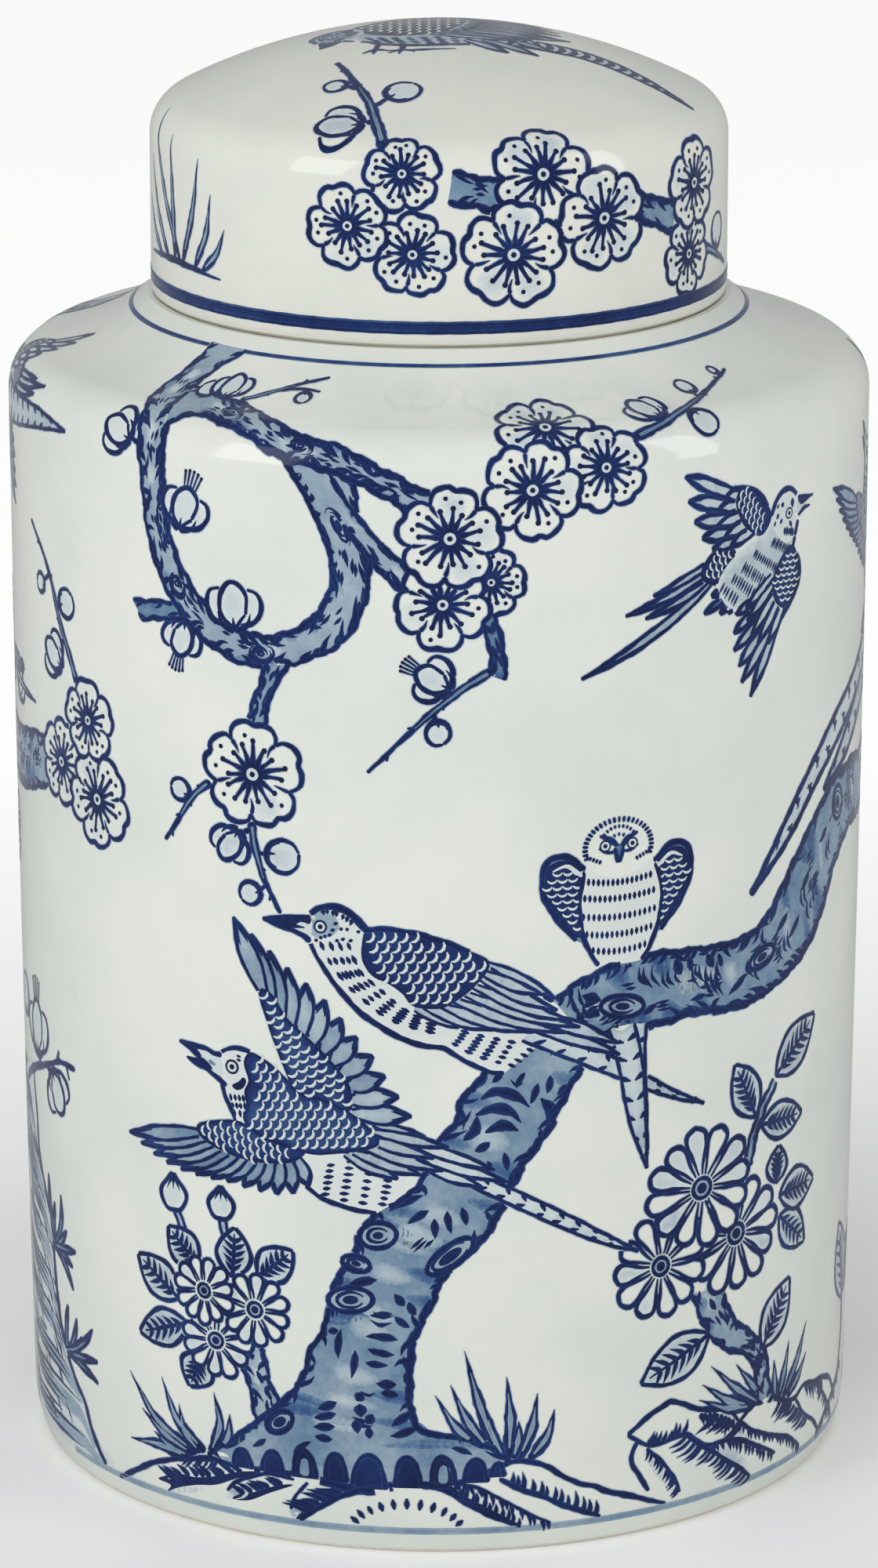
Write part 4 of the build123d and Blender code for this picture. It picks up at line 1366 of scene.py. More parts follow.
def knot(b, c, w, h, turn=0, heart=0.36):
    """Eye in the bark: a dark heart inside two rings."""
    d = cis(turn)

    def ring(f, low=0, high=360, n=12):
        return [c + d * f * z for z in oval(0, w, h, np.linspace(low, high, n))]

    b.fill(ring(heart)[:-1], 0.92, level=1)
    b.stroke(ring(heart + 0.26, 20, 330, 10), w=(0.3, 0.8, 0.8, 0.3))
    b.stroke(ring(1, 0, 360)[:-1], w=1.1, closed=True)
    b.fill(ring(1)[:-1], 0.36, 0.24)
    b.cover(ring(1)[:-1])


def trunk(b):
    """Leaning tree with its heavy branch, rooted in the ground."""
    b.piece = "tree"
    for i, (c, w, h) in enumerate(((-48.6+20.4j, 2.2, 4.2), (-40.6+20.8j, 2.4, 4.8), (-32.4+21.6j, 2.5, 6.6),
            (-24.6+21.4j, 2.2, 6.4), (-16.8+21j, 3.6, 7.8), (-7.4+21.2j, 2.7, 7), (1+21.8j, 2.5, 6.8),
            (8.6+21.6j, 2.4, 5.4), (13.8+21.6j, 1.4, 3.2))):
        lean = b.j(0.5)
        ring = [c - w * 1.15 - h * 0.55j, c - w * 0.86 + h * 0.16j + lean, c - w * 0.3 + h * 0.52j + lean, c
            + w * 0.45 + h * b.j(0.42, 0.55) * 1j + lean, c + w * 0.9 + h * 0.1j, c + w * 1.2 - h * 0.55j]
        b.stroke(ring, w=(1.3, 1, 1.2, 1, 1.4))
        if i in (2, 6):
            b.fill([c - w * 0.42 - h * 0.4j, c - w * 0.3 + h * 0.14j, c + w * 0.3 + h * 0.16j, c + w * 0.4
                - h * 0.4j], 0.4, level=1)
        b.fill(ring + [ring[-1], ring[0]], 0.93)
        b.cover(ring + [ring[-1], ring[0]])
    foot = [-50+18.2j, -42+18.4j, -33+18.4j, -25+17.2j, -18+16.2j, -8+18.2j, 2+18j, 9+20.2j]
    b.fill([-58+19.6j, -42+20.8j, -20+21.9j, 0+22.9j, 16.6+23.6j, 16.6+23.6j] + foot[::-1], 0.36)
    b.stroke([-58+18.9j] + foot + [16.6+23.2j], w=(0.9, 1.5, 1.3, 1.7, 1.9, 2.2, 1.5, 1.3, 1.2))
    knot(b, -14.2+79.6j, 4.4, 3.1, 10, heart=0.3)
    knot(b, -19.4+72.4j, 3.4, 1.9, -12)
    knot(b, -20.8+63.4j, 5.4, 3, 6)
    knot(b, 2.6+74.8j, 6.6, 2.5, 38, heart=0.5)
    knot(b, -38.6+31.2j, 3.8, 2.4, 36, heart=0.5)
    # torn bark high on the trunk
    for bark in ([9.6+112.8j, 13+114.6j, 17.4+113.4j, 21+110.4j], [8.4+109j, 12.6+110.6j, 16.4+109.6j,
            19+106.8j], [10.6+104.8j, 14.6+106.4j, 18.4+104.8j], [23.6+112.4j, 26+109.2j, 24.8+105.6j],
            [5.6+103j, 8.2+105.4j, 8.8+108.8j]):
        b.stroke(bark, w=(0.4, 1.9, 2.5, 1.6, 0.3))
    ticks(b, ((-23.4+52.4j, 7.4, 84, 1.3), (-25+55.4j, 2.6, 10, 1.3), (-20.2+47.6j, 7.2, 82, 1.3),
        (-13.4+54.4j, 7.6, -4, 1.5), (-13.6+51j, 6.4, 170, 1.4), (-14.6+48j, 5.4, 176, 1.3),
        (-12.4+43.2j, 4.8, 0, 1.7), (-11.6+40.6j, 4.2, 172, 1.4), (-26.6+36.8j, 5.2, 24, 1.6),
        (-27.2+34.2j, 5.6, 16, 1.6), (-27.4+31.4j, 5.4, 6, 1.5), (-27.6+28.6j, 4.4, -6, 1.4),
        (-18.8+39.6j, 2.6, 60, 2), (-18.6+36.2j, 3.4, 96, 2.2), (-16.4+34.2j, 3, 60, 1.8),
        (-19.4+32.2j, 3.6, 96, 1.8), (-16.4+30.8j, 3, 90, 1.5), (-8.6+34.6j, 6.4, 36, 1.5),
        (-8.2+31.6j, 7.4, 22, 1.4), (-9.2+64j, 3.8, -50, 1.6), (-6.2+62j, 3.6, -62, 1.5),
        (-8.6+58.6j, 4.4, -36, 1.5), (-17.8+68j, 7, 12, 1.6), (-13.6+60.2j, 5.4, 8, 1.2),
        (-4.8+84.4j, 6, 34, 1.5), (-6.8+88j, 7.4, 28, 1.3), (-1+81.6j, 5, 92, 1.4),
        (2.4+83.2j, 5.6, 100, 1.4), (5.8+84.6j, 4.6, 104, 1.3), (12+95.4j, 5.4, 108, 1.3),
        (15.4+97.6j, 4.6, 100, 1.2), (10+101.4j, 4.2, 30, 1.5), (22+113.6j, 5.2, 70, 1.4),
        (25.4+115.6j, 4.4, 80, 1.3), (18.8+117j, 4.2, 60, 1.2), (13.4+118.2j, 3.6, 50, 1.2),
        (-33+25.6j, 5.6, 38, 1.2), (-44+25.2j, 4.4, 34, 1.1), (5.4+26.6j, 5.2, -20, 1.1)))
    limb(b, [22+134j, 16+126j, 11+120.4j, 9.4+117j, 5.4+113.4j, 4.2+108j, -0.4+102j, -5.7+91j, -14.6+84.7j,
        -18.3+79.6j, -20+74j, -23.6+69j, -25.6+62.6j, -27+56.3j, -31+49j, -32.2+43.7j, -36.6+37.4j, -42.5+32j,
        -50+25.8j, -58.6+19.2j], [37.6+126.4j, 36+123.4j, 33.6+119.4j, 29.4+112.6j, 27+108j, 24.8+103.7j,
        20.6+98.4j, 17.5+93.2j, 14+85.4j, 9.8+78.4j, 4.8+73.6j, 0.6+69j, -1.5+63.7j, -5.7+55.3j, -6.7+49j,
        -6.7+37.4j, -3.6+31.6j, 6.4+29.8j, 13.6+26.6j, 16.8+23.4j], tone=0.4, busy=0.8, edge=1.3, inner=0.12,
        patches=1.7)
    branch(b)


def branch(b):
    b.piece = "tree"
    knot(b, 43.4+132.4j, 5.6, 2.6, -8, heart=0.34)
    knot(b, 84.6+136.6j, 4.6, 2.3, 16, heart=0.4)
    knot(b, 119.4+165.6j, 3.2, 4.2, 12, heart=0.4)
    ticks(b, ((58+139.6j, 4.4, -66, 1.9), (61.4+139.8j, 3.8, -80, 1.5), (67.4+139.4j, 4.2, -60, 1.8),
        (70.4+139j, 3.6, -70, 1.3), (35.6+135.4j, 5, -20, 2), (36.4+131.6j, 5.6, 12, 1.5),
        (50.6+130.6j, 4.6, 30, 1.2), (76+131.4j, 6.2, 30, 1.3), (92+143.4j, 6, 42, 1.3),
        (97+141j, 6.6, 46, 1.3), (101.6+151j, 5.6, 50, 1.3), (106.4+149.6j, 5, 52, 1.2),
        (110.6+160j, 5.2, 36, 1.3), (64+131.2j, 4.6, 8, 1.1)))
    limb(b, [140+172j, 132.6+173.6j, 125+173j, 115+171.5j, 105+165j, 97+158j, 90+150j, 84+144.5j, 75+142.4j,
        60+143.2j, 50+143.8j, 42+142.6j, 33+139.6j, 24+134j], [140+157j, 134+157.4j, 128+157j, 118+151j,
        112+143j, 104+135j, 93+129.6j, 80+126.6j, 70+127j, 62+127.8j, 52+126.6j, 45+127j, 40+124.6j, 33+119j],
        busy=1.3, edge=1.35, patches=1.6)


def ridge(b, points, w=1.2, reach=0, gap=1.6, lean=0.9, shrink=0, side=1, tuft=1.1):
    """Line of ground or rock with hatches on one side."""
    if reach:
        fringe(b, points, reach, gap=gap, w=tuft, lean=lean, shrink=shrink, side=side)
    b.stroke(points, w=(w * 0.8, w, w * 0.85, w * 1.1, w * 0.6))


def ground(b):
    """Folded ground at the foot of the tree."""
    b.piece = "ground"
    ridge(b, [-34+7.2j, -30+10.2j, -24.6+13.8j, -18+16.6j, -12+18j, -6+18.6j, -1.5+18.2j, 4+15.6j, 9+12.2j,
        14.6+9.2j, 19.6+6.9j], w=1.4)
    for i in range(11):
        a = 158 - 136 * i / 10
        c = -7.6 + 5.8j + complex(13.4 * cis(a).real, 7.4 * cis(a).imag)
        d = cis(a * 0.72 + 26)
        b.stroke([c - d * 1.2, c, c + d * b.j(1.2, 1.7)], w=(0.3, 1.25, 0.3), wobble=0)
    for dark, crest, reach, gap in (([-72.4+6.2j, -68+8.8j, -62+11j, -56+12.4j, -50+15.2j, -45+17j, -45+17.8j,
            -50+16.8j, -56+14.6j, -62+13j, -67+12.6j, -74+9.8j, -70+9j], [-71+10.6j, -64+12.8j, -56+14.4j,
            -48+17j], 2.9, 2), ([-51.6+9.8j, -47+10.2j, -41.4+13j, -35.4+15.8j, -38+15.6j, -42+14.2j,
            -45.4+12.6j, -48.6+11.8j], [-48.6+11.4j, -42+14j, -37+15.8j], 2.7, 1.7),
            ([-34.8+7j, -30+10j, -25.7+12.6j, -20.4+15.6j, -22.4+15.6j, -27+13.2j, -31+10.8j, -33.8+8.8j],
            [-33+9.2j, -27+12.8j, -22.4+15.4j], 3.7, 1.5)):
        b.fill(dark, 0.93)
        fringe(b, crest, reach, gap=gap, w=1.5, lean=-1.1)
    ridge(b, [-53+11.6j, -50.4+14.2j, -46.4+16.2j, -42.6+17.6j, -38.6+17.8j, -35+17.2j], w=0.9)
    ridge(b, [-36+9.6j, -34.6+13.4j, -31.6+17j], w=0.8)
    for fold, tone in (([-53+9.6j, -52.4+12.4j, -49+13.6j, -47+12.4j, -48.6+10.4j], 0.34),
            ([-36.4+8.6j, -35.4+12j, -31.6+13j, -29+12j, -31+9.6j, -34.6+7.6j], 0.4),
            ([-70.6+7.4j, -64+10j, -60+10.6j, -64+8.4j], 0.3)):
        b.fill(fold, tone, 0.06)
    ridge(b, [1.7+18.4j, 6+15j, 11.2+12j, 15.4+9.4j, 19.6+6.8j], w=0.9, reach=2.4, lean=-0.5)
    ridge(b, [14.3+19.5j, 19+16.6j, 23.8+14.7j, 31+11j, 39.6+7.4j], w=1.3, reach=3.6, lean=-0.4, gap=1.9,
        tuft=1.3)
    ridge(b, [2.4+19j, 8.6+17.6j, 14.6+14.4j, 21+10.4j, 27+7.2j], w=0.8, reach=2.2, side=-1, lean=0.8,
        gap=1.9)
    ridge(b, [11.2+20.5j, 15.4+22.8j, 19.8+23.6j, 25.9+21.6j, 30+18.6j, 34.3+16.3j, 37.6+15.4j, 40.6+13.6j,
        44.8+12.2j, 49+10.6j, 53+9j, 57.5+7.2j], w=1.25)
    ridge(b, [-88.8+5.8j, -83+9j, -77+12.6j, -71+15.2j, -65.7+16.8j, -57.3+18.6j, -50+18.2j], w=1.3)
    fringe(b, [-65+17j, -60+17.6j, -55+18.4j], 2.2, gap=1.4, w=0.8, lean=-1.1, side=-1)
    grass(b, ((-61.5+19j, 0.1, -83+34.7j), (-59+20j, 0.12, -72+36j), (-62.5+18.6j, 0.05, -79+26.3j),
        (-64+17.6j, -0.05, -83.4+17.6j), (-57.6+19.6j, -0.14, -56.2+35.6j), (-55+20.6j, -0.1, -51.8+31j),
        (-60.4+19.4j, 0.16, -66.6+30.4j), (-63.6+18j, 0.08, -75+21.6j)), w=3)
    grass(b, ((14.4+24.6j, 0.02, 5.9+51.6j), (16.6+24.4j, -0.03, 15.9+44.8j), (12.6+25.4j, 0.08, -1+40.6j),
        (13.2+25.2j, 0.05, 2.6+43.2j), (19+24j, -0.06, 23.3+40.2j), (21.4+23.6j, -0.1, 27.6+35.8j),
        (15.6+24.4j, 0.06, 11+37j), (17.6+24.2j, -0.05, 19+33.6j)), w=3)


def daisy_bush(b):
    """Three small daisies with buds and leaves on a short stem."""
    b.piece = "flowers"
    for row in ((-58.5+60.5j, 8.4, 11, 10), (-44.6+58.2j, 9.1, 11, 20), (-55.4+48.7j, 9, 11, 4, 1.1)):
        daisy(b, *row)
    for row in ((-50.4+65.2j, -49.6+77.6j, 4.7, 0.24, 5), (-60+66j, -68.8+74.4j, 4.6, 0.24, 5),
            (-43.8+66.4j, -34.6+74j, 4.5, 0.22, 5), (-65.8+56.8j, -79+65j, 4.9, 0.24, 5),
            (-63.4+51.4j, -79+45.6j, 4.6, 0.3, 5), (-59.2+44.4j, -63.2+35.6j, 4.9, 0.26, 5)):
        leaf(b, *row)
    for c, r in ((-67+82.6j, 3.9), (-53.3+82.6j, 3.5)):
        ring = [c + r * 1.35j, c + r * 1.35j, c + r * complex(0.42, 0.9), c + r * complex(1, 0.1), c
            + r * complex(0.6, -0.85), c - r * 1j, c + r * complex(-0.6, -0.85), c + r * complex(-1, 0.1), c
            + r * complex(-0.42, 0.9)]
        b.stroke(ring[1:] + [ring[0]], w=1)
        for k in (-0.5, 0, 0.5):
            b.stroke([c + r * 1.25j, c + r * complex(k, 0.3)], w=(1.2, 0.1), wobble=0)
        b.body(ring, 0.14, 0.04)
    for line in ([-66.4+79j, -64.8+76j, -63.6+72.4j], [-53+79.4j, -52.6+77j, -52+75j]):
        z = np.array(line)
        b.stroke(z - 0.9, w=0.8)
        b.stroke(z + 0.9, w=0.8)
        ring = np.concatenate([z - 0.9, z[::-1] + 0.9])
        b.body(ring, 0.3, raw=True)
    ticks(b, ((-42.2+46j, 3.6, 100, 0.9), (-43.6+41.6j, 3.4, 120, 0.9), (-41.2+37.6j, 3.2, 116, 0.9)))
    limb(b, [-45.8+54j, -45.5+50j, -46.4+46j, -48.6+43.4j, -47+41.6j, -45.8+36j, -44.2+29j],
        [-43+54j, -43+50j, -41.8+45j, -41.4+42j, -40.6+40j, -39+36.6j, -37.6+31j], tone=0.3, busy=0.9,
        edge=0.85)


def chrysanthemums(b):
    """Large daisies with spaced leaves on a crooked stem, over rocks."""
    b.piece = "flowers"
    for row in ((66.2+84.2j, 14.6, 12, 8, 1.08), (54.6+67.2j, 12.8, 11, 18, 1),
            (77.6+70.4j, 14.2, 12, 3, 1.06)):
        daisy(b, *row)
    for row in ((92+79j, 92.9+88.2j, 4.2, 0.26, 5), (93.4+75.6j, 110+75.4j, 5.2, 0.24, 6, 0.02),
            (93.6+70.6j, 106+60.6j, 4.8, 0.26, 5), (90.7+106j, 108.2+116.8j, 5.6, 0.26, 6, 0.03),
            (83.7+97.6j, 76+112.4j, 4.9, 0.26, 6), (85.4+95.2j, 103+93.8j, 4.6, 0.24, 6),
            (69.6+47.4j, 49.6+38.8j, 5.6, 0.2, 6, 0.04), (88+38.6j, 99.2+53.6j, 5.4, 0.22, 6)):
        leaf(b, *row)
    limb(b, [90+105.6j, 86.4+101.6j, 83.4+96.4j, 80.6+90.4j, 80+86j], [91.4+104.2j, 88.2+100.4j, 85.4+95.6j,
        83+90j, 82.4+86j], tone=0.36, busy=0.4, edge=0.9)
    ticks(b, ((70.4+54.6j, 4, -58, 1.2), (73.4+51.2j, 3.6, -50, 1), (84.6+40.6j, 3.2, -60, 1.2),
        (87.2+34.4j, 3.2, -96, 1.2), (88.8+29j, 3.4, -100, 1.2)))
    limb(b, [63.6+58.6j, 65+55.6j, 68.5+48.5j, 74.1+42.6j, 82.6+38.4j, 86+32j, 87+24.6j],
        [72.6+59.6j, 73.6+56.6j, 77.6+48.8j, 83.6+44.2j, 89.2+38.6j, 91+31j, 93.6+24.4j], tone=0.34, busy=1.1,
        knots=((0.72, 0.55, 0.9),), edge=0.95)
    grass(b, ((88.4+24.6j, 0.03, 70.2+39j), (85.6+25j, 0.06, 66.6+31.4j), (90+24.6j, 0, 78.6+37.4j),
        (84.4+25.4j, 0.05, 67.6+35j), (95.6+23.8j, -0.03, 99.8+37.4j), (97.6+23.4j, -0.05, 108.6+39.6j),
        (94.2+24.2j, 0, 93.3+34.4j), (99.6+23j, -0.06, 109+31.6j), (82+25.6j, 0.05, 72+31.4j)), w=2.9)
    rocks(b)


def rocks(b):
    b.piece = "ground"
    for fold, tone in (([50.6+22j, 54.6+18.6j, 58.6+13.6j, 60+9.4j, 57+12j, 53+17j], 0.26),
            ([62+23.6j, 69.6+18.4j, 77+17.6j, 84+10.4j, 76+12.4j, 67+17.6j], 0.24),
            ([70.6+27.4j, 78+25.4j, 82+21j, 90+15.6j, 84+17.4j, 76+20.6j], 0.24),
            ([94+22.6j, 103.4+20.4j, 110+13j, 114+10.6j, 107+14j, 98.6+19j], 0.26)):
        b.fill(fold, tone, 0.06)
    ridge(b, [46.3+26.7j, 46.3+26.7j, 52+30.4j, 58+33j, 58+33j, 62+31.4j, 67.2+28.9j, 75.9+26.7j, 80.2+22.6j],
        w=1.3)
    ridge(b, [80.2+22.6j, 85+19j, 90.7+16.3j, 101+12.2j, 107.2+7.8j], w=1.1, reach=2, side=-1, lean=0.7)
    fringe(b, [71+27.4j, 76.6+24.6j, 82+21.4j], 5.2, gap=1.4, w=1.35, lean=-0.6, side=-1)
    ridge(b, [46.3+26.7j, 51.5+23.3j, 56+23j, 62.8+23.7j, 66+21.4j, 69.8+19.3j, 78.5+18.5j, 87.2+14.4j,
        95+10.2j], w=1.1)
    fringe(b, [51+23.4j, 56+23.2j, 62.4+23.8j], 3, gap=1.3, w=1.35)
    fringe(b, [70+19.2j, 78.5+18.3j, 87+14j, 94+10.6j], 2.6, gap=1.7, w=1.2, side=-1)
    fringe(b, [66+28j, 72.6+26.6j, 79+23j], 3.8, gap=1.6, w=1.35, lean=0.6, side=-1)
    ridge(b, [49.3+25j, 47.8+22.4j, 47.6+19.3j, 49.6+16j, 52.4+11.6j])
    ridge(b, [51.5+22.4j, 54.6+19.6j, 56.7+17.2j, 59.4+13.6j, 61.5+9.3j], w=1, reach=2.8, side=-1, lean=0.4,
        gap=1.4)
    ridge(b, [62.8+23.7j, 66.6+20.4j, 71.5+17.2j, 76+13.8j, 80.2+11j, 85.4+7j], w=1.15, reach=5.2, side=-1,
        lean=-0.5, gap=1.5, shrink=0.3)
    ridge(b, [80.2+22.4j, 83.6+24.4j, 87.2+25.4j, 91.4+24.8j, 95.9+23.7j, 100+22j, 103.7+21.5j, 108+23.3j,
        115+22j, 121+21j, 127+18.4j, 133+11j], w=1.15)
    fringe(b, [96+23.4j, 101+21.6j, 106+17.8j, 111+14j], 5.4, gap=1.4, w=1.35, lean=-0.6, side=-1, shrink=0.2)
    ridge(b, [103.7+21.5j, 105.4+19.4j, 107+17.2j, 110.8+14.4j, 114.6+12j, 119+8j], w=1)
    fringe(b, [108+23j, 114+22j, 120+21j], 3.6, gap=1.6, w=1.2, lean=0.6, side=-1)
    ridge(b, [117+21j, 121+17j, 126+12.4j, 130+8j], w=0.9, reach=2.6, side=-1, lean=0.2)


def left_edge(b):
    """What shows at the left edge of the front, and what it grows from."""
    b.piece = "left"
    for row in ((-93.6+191.6j, 9.6, 20), (-90.4+173.4j, 11.2, 48), (-106+178.8j, 10.2, 6, 0.8)):
        blossom(b, *row)
    for row in ((-109+204j, 5, 150, 1), (-102.2+217.6j, 3.6, 20), (-115.8+219.6j, 2.4, 170)):
        bud(b, *row)
    twig(b, [-97.6+199j, -102+207j, -105.4+212.4j, -110+222j, -115+228j, -121.6+233.4j], 2, 0.9, thorns=4)
    stalks(b, ((-106.6+215.6j, -104.6+216.6j, 1, 0.8), (-103.6+208.6j, -106+206j, 1.1, 0.9),
        (-110.6+222.6j, -114+220.6j, 1, 0.8)))
    for row in ((-154+152j, 10.4, 30), (-170.6+163j, 9.2, 8, 0.8)):
        blossom(b, *row)
    bud(b, -136+190j, 4.2, aim=60, kind=2)
    limb(b, [-112+182j, -120+182.4j, -130+180.6j, -140+179.4j, -152+182j, -164+188j, -172+200j, -175+216j,
        -172+232j, -176+250j, -186+268j, -190+296.6j], [-114+171j, -122+168.6j, -132+166j, -142+165.6j,
        -156+168j, -170+176j, -181+190j, -186+208j, -184+226j, -188+244j, -198+260j, -206+296.6j], tone=0.38,
        knots=((0.3, 0.5, 1.8), (0.62, 0.5, 2), (0.86, 0.45, 2)), busy=1.2, edge=1.1)
    # thicket by the rocks
    bud(b, -113.4+95.6j, 5.8, aim=-58, kind=1)
    b.stroke([-119.6+100j, -117+99.4j], w=(1.2, 1.4))
    for row in ((-127+107.6j, 7.2, 92, 2), (-141+112j, 5.2, 120, 0)):
        bud(b, *row)
    twig(b, [-103+104j, -107.6+104.2j, -113+103.2j, -119.4+100.6j, -126+98.4j, -134+95j, -142+90.4j], 1.3,
        1.7, thorns=3)
    stalks(b, ((-112.8+103.2j, -111.6+106.4j, 1.1, 0.8), (-107.6+104j, -106+100.6j, 0.9, 0.6)))
    twig(b, [-124+98.4j, -129+103j, -137+108j, -148+111j], 1.6, 1, thorns=3)


def cliff(b):
    """Steep rock with slanted strata and tufts growing from its side."""
    b.piece = "rocks"
    for root, tips in ((-118+56j, (-121+73j, -117+67j, -113+70j, -105.2+58j, -107+53.4j, -107+47.6j,
            -110+62j)), (-112+31j, (-98+40.6j, -103+37j, -96+33j, -96+27.4j, -110.5+43j, -106+41j,
            -101+30j))):
        for tip in tips:
            rise = (tip - root).imag / abs(tip - root)
            plume(b, root, tip, 0.8, 0.42, sway=-0.16 * rise if tip.real > root.real + 4 else 0.04, w=0.8,
                root_half=0.8)
    side = [-133+97j, -130+86j, -128.6+76j, -124+68j, -119.4+60j, -118.4+51j, -117+43j, -115+36j, -111.6+30j,
        -107+24.6j, -102.8+20.6j, -99.4+14.2j, -94+7.4j]
    line = curve(side)
    crag = [-142+95j, -150+88j, -147+74j, -156+60j, -151+44j, -160+28j, -156+8j]
    for v in (84, 75, 66, 57, 48, 39, 30, 21, 13):
        e = line[np.argmin(abs(line.imag - v + 9))] if v > 17 else line[-1]
        top = line[np.argmin(abs(line.imag - v))]
        bed = curve([complex(-152, v + b.j(9, 13)), complex(-144, v + 6), complex(-137, v + 1), top * 0.7
            + (e - 4) * 0.3 - 3, e - 1.5])
        for k in range(4):
            t0, t1 = b.j(0, 0.45), b.j(0.55, 1)
            z = along(bed, np.linspace(t0, t1, 6)) - 1.7j * (k - 1) + b.j(0.4)
            b.stroke(z, w=(0.15, b.j(0.6, 1), b.j(0.8, 1.4), b.j(0.5, 1), 0.15))
        for k in range(6):
            z = along(bed, [b.j(0.15, 0.95)])[0] - b.j(2, 6) * 1j
            if z.imag > 12:
                b.stroke([z, z + complex(2.2, -1.9), z + complex(4, -4.4)], w=(0.15, b.j(0.7, 1.2), 0.15))
        z, swell = along(bed, np.linspace(0.05, 1, 7)), np.array([0, 0.5, 0.8, 1, 1, 0.8, 0.4])
        b.fill(np.concatenate([z + 0.6j * swell, (z - 4.2j * swell)[::-1]]), 0.34, 0.3, level=PATCH)
    b.stroke(side, w=(1, 1.3, 1.2, 1.6, 1.2, 1.5))
    ridge(b, crag, reach=4.6, side=-1, lean=0.5, gap=1.7)
    shell = side + crag[::-1]
    b.body(shell, 0.13, 0.12)
    ridge(b, [-150+88j, -160+92j, -167+84j, -173+78j, -176+66j, -184+58j, -187+44j, -194+36j, -198+22j,
        -206+14j, -209+7j], w=1.4, reach=4.4, lean=-0.4, gap=1.8)
    ridge(b, [-166+82j, -164+66j, -171+50j, -166+34j, -174+20j, -171+8j], w=1.1, reach=4.4, lean=0.5, gap=1.7)
    ridge(b, [-180+58j, -179+42j, -186+28j, -184+8j], w=1, reach=3.8, lean=0.5, gap=1.8)
    grass(b, ((-186+54j, -0.05, -196+76j), (-194+38j, -0.04, -207+56j), (-183+58j, -0.02, -187+82j),
        (-202+18j, -0.05, -219+34j), (-199+22j, -0.02, -210+44j), (-206+10j, 0.06, -224+20j)), w=2.2)


def far_birds(b):
    """Birds whose tails and wing tips show past the edges of the front."""
    b.piece = "birds"
    tail(b, [-150+262j, -136+260.8j, -116+260.8j, -101+258.5j], [-150+252j, -135+253.2j, -118+256j,
        -101+258.5j], marks=10, tone=0.22)
    b.at(-104+259j, turn=25, size=0.88, flip=True, pivot=32.4 + 210.9j)
    swallow(b)
    b.at(-121+189.4j, turn=20, size=0.72, flip=True, pivot=32.4 + 210.9j)
    swallow(b)
    b.at(112+242.8j, turn=-33, size=0.84, pivot=-81.2 + 94.6j)
    magpie(b)
    b.at()


def perched_far(b):
    """Bird on the heavy branch at the right, its tail hanging across the edge."""
    b.piece = "birds"
    tail(b, [146+201j, 131+194.4j, 115+187j, 101+176.4j, 91+166j, 80+152.6j],
        [148+193.6j, 134+188.6j, 119+181.6j, 105+172.8j, 94+163.2j, 80+152.6j], w=1.5, wedges=14)
    tail(b, [146+194j, 132+187j, 121+179.6j, 110+171j], [150+189j, 137+182.6j, 125+176j, 110+171j], tone=0.2,
        w=1.4, wedges=7)
    b.at(152+191j, turn=-3, size=0.98, flip=True, pivot=15 + 126j)
    cuckoo(b, tails=0)
    b.at()


def right_edge(b):
    """Leaf and ground that run past the right edge of the front."""
    b.piece = "flowers"
    for row in ((139+35j, 131.6+57j, 6.6, 0.22, 5), (141+36j, 150+52j, 5.2, 0.24, 5)):
        leaf(b, *row)
    b.stroke([139+35j, 139.6+27j, 137+20j, 135+15j], w=(1.2, 1.4, 1.2))
    b.piece = "ground"
    ridge(b, [140+18.6j, 136.4+17.6j, 132+15.4j, 128.4+13.6j, 123+11j, 117.3+7.7j], w=1.1, reach=3, lean=0.5,
        gap=1.7)


def back(b):
    """The far side: the branch runs on to a second tree, with its own birds."""
    b.at(280, flip=True)
    fledgling(b)
    b.at(286+141j, turn=2, flip=True, pivot=-2 + 140j)
    cuckoo(b)
    b.at(330+98j, turn=4, size=0.94, flip=True, pivot=-40 + 100j)
    magpie(b)
    b.at(262+216j, turn=14, size=0.92, pivot=80 + 235j)
    swallow(b)
    b.at(280, flip=True)
    for draw in (trunk, daisy_bush, ground, chrysanthemums):
        draw(b)
    b.at(352+296j, flip=True, pivot=-40 + 296j)
    plum_branch(b)
    b.at()


def rings(b, around, marks):
    """Plain lines round a piece. A mark is (height, width, ink, level)."""
    b.piece = "lines"
    for v, w, ink, level in marks:
        z = np.linspace(-around / 2 - 2, around / 2 + 2, int(around / 0.8)) + 1j * v
        b.stroke(z, w=w, ink=ink, level=level, raw=True, wobble=0, sway=0.25)


# ---------------------------------------------------------------- the lid
def lid_plum(b):
    """Row of blossoms along a branch on the lid's side."""
    b.piece = "plum"
    for row in ((17+21.6j, 12, 12, 0.5), (-21+28j, 9.6, 40), (-6+22j, 9.5, 8), (-8.4+40.4j, 8.8, 24),
            (39.6+28.2j, 11.6, 30), (24+39.6j, 11.8, 2), (70.6+32j, 10.4, 20, 0.8), (68.4+15.8j, 9.4, 50)):
        blossom(b, *row)
    bud(b, 85+18.4j, 4.2, aim=70)
    limb(b, [3+41j, 8+39.6j, 14+38.6j], [2+34j, 8+33j, 14+31j], tone=0.4, busy=0.8)
    limb(b, [46+35.6j, 53+31.4j, 62+29j], [47+27.6j, 53+25.4j, 62+21.6j], tone=0.4, busy=0.8)
    twig(b, [76+16j, 82+14j, 88+11.4j, 94+9j], 2.2, 0.9, thorns=2)


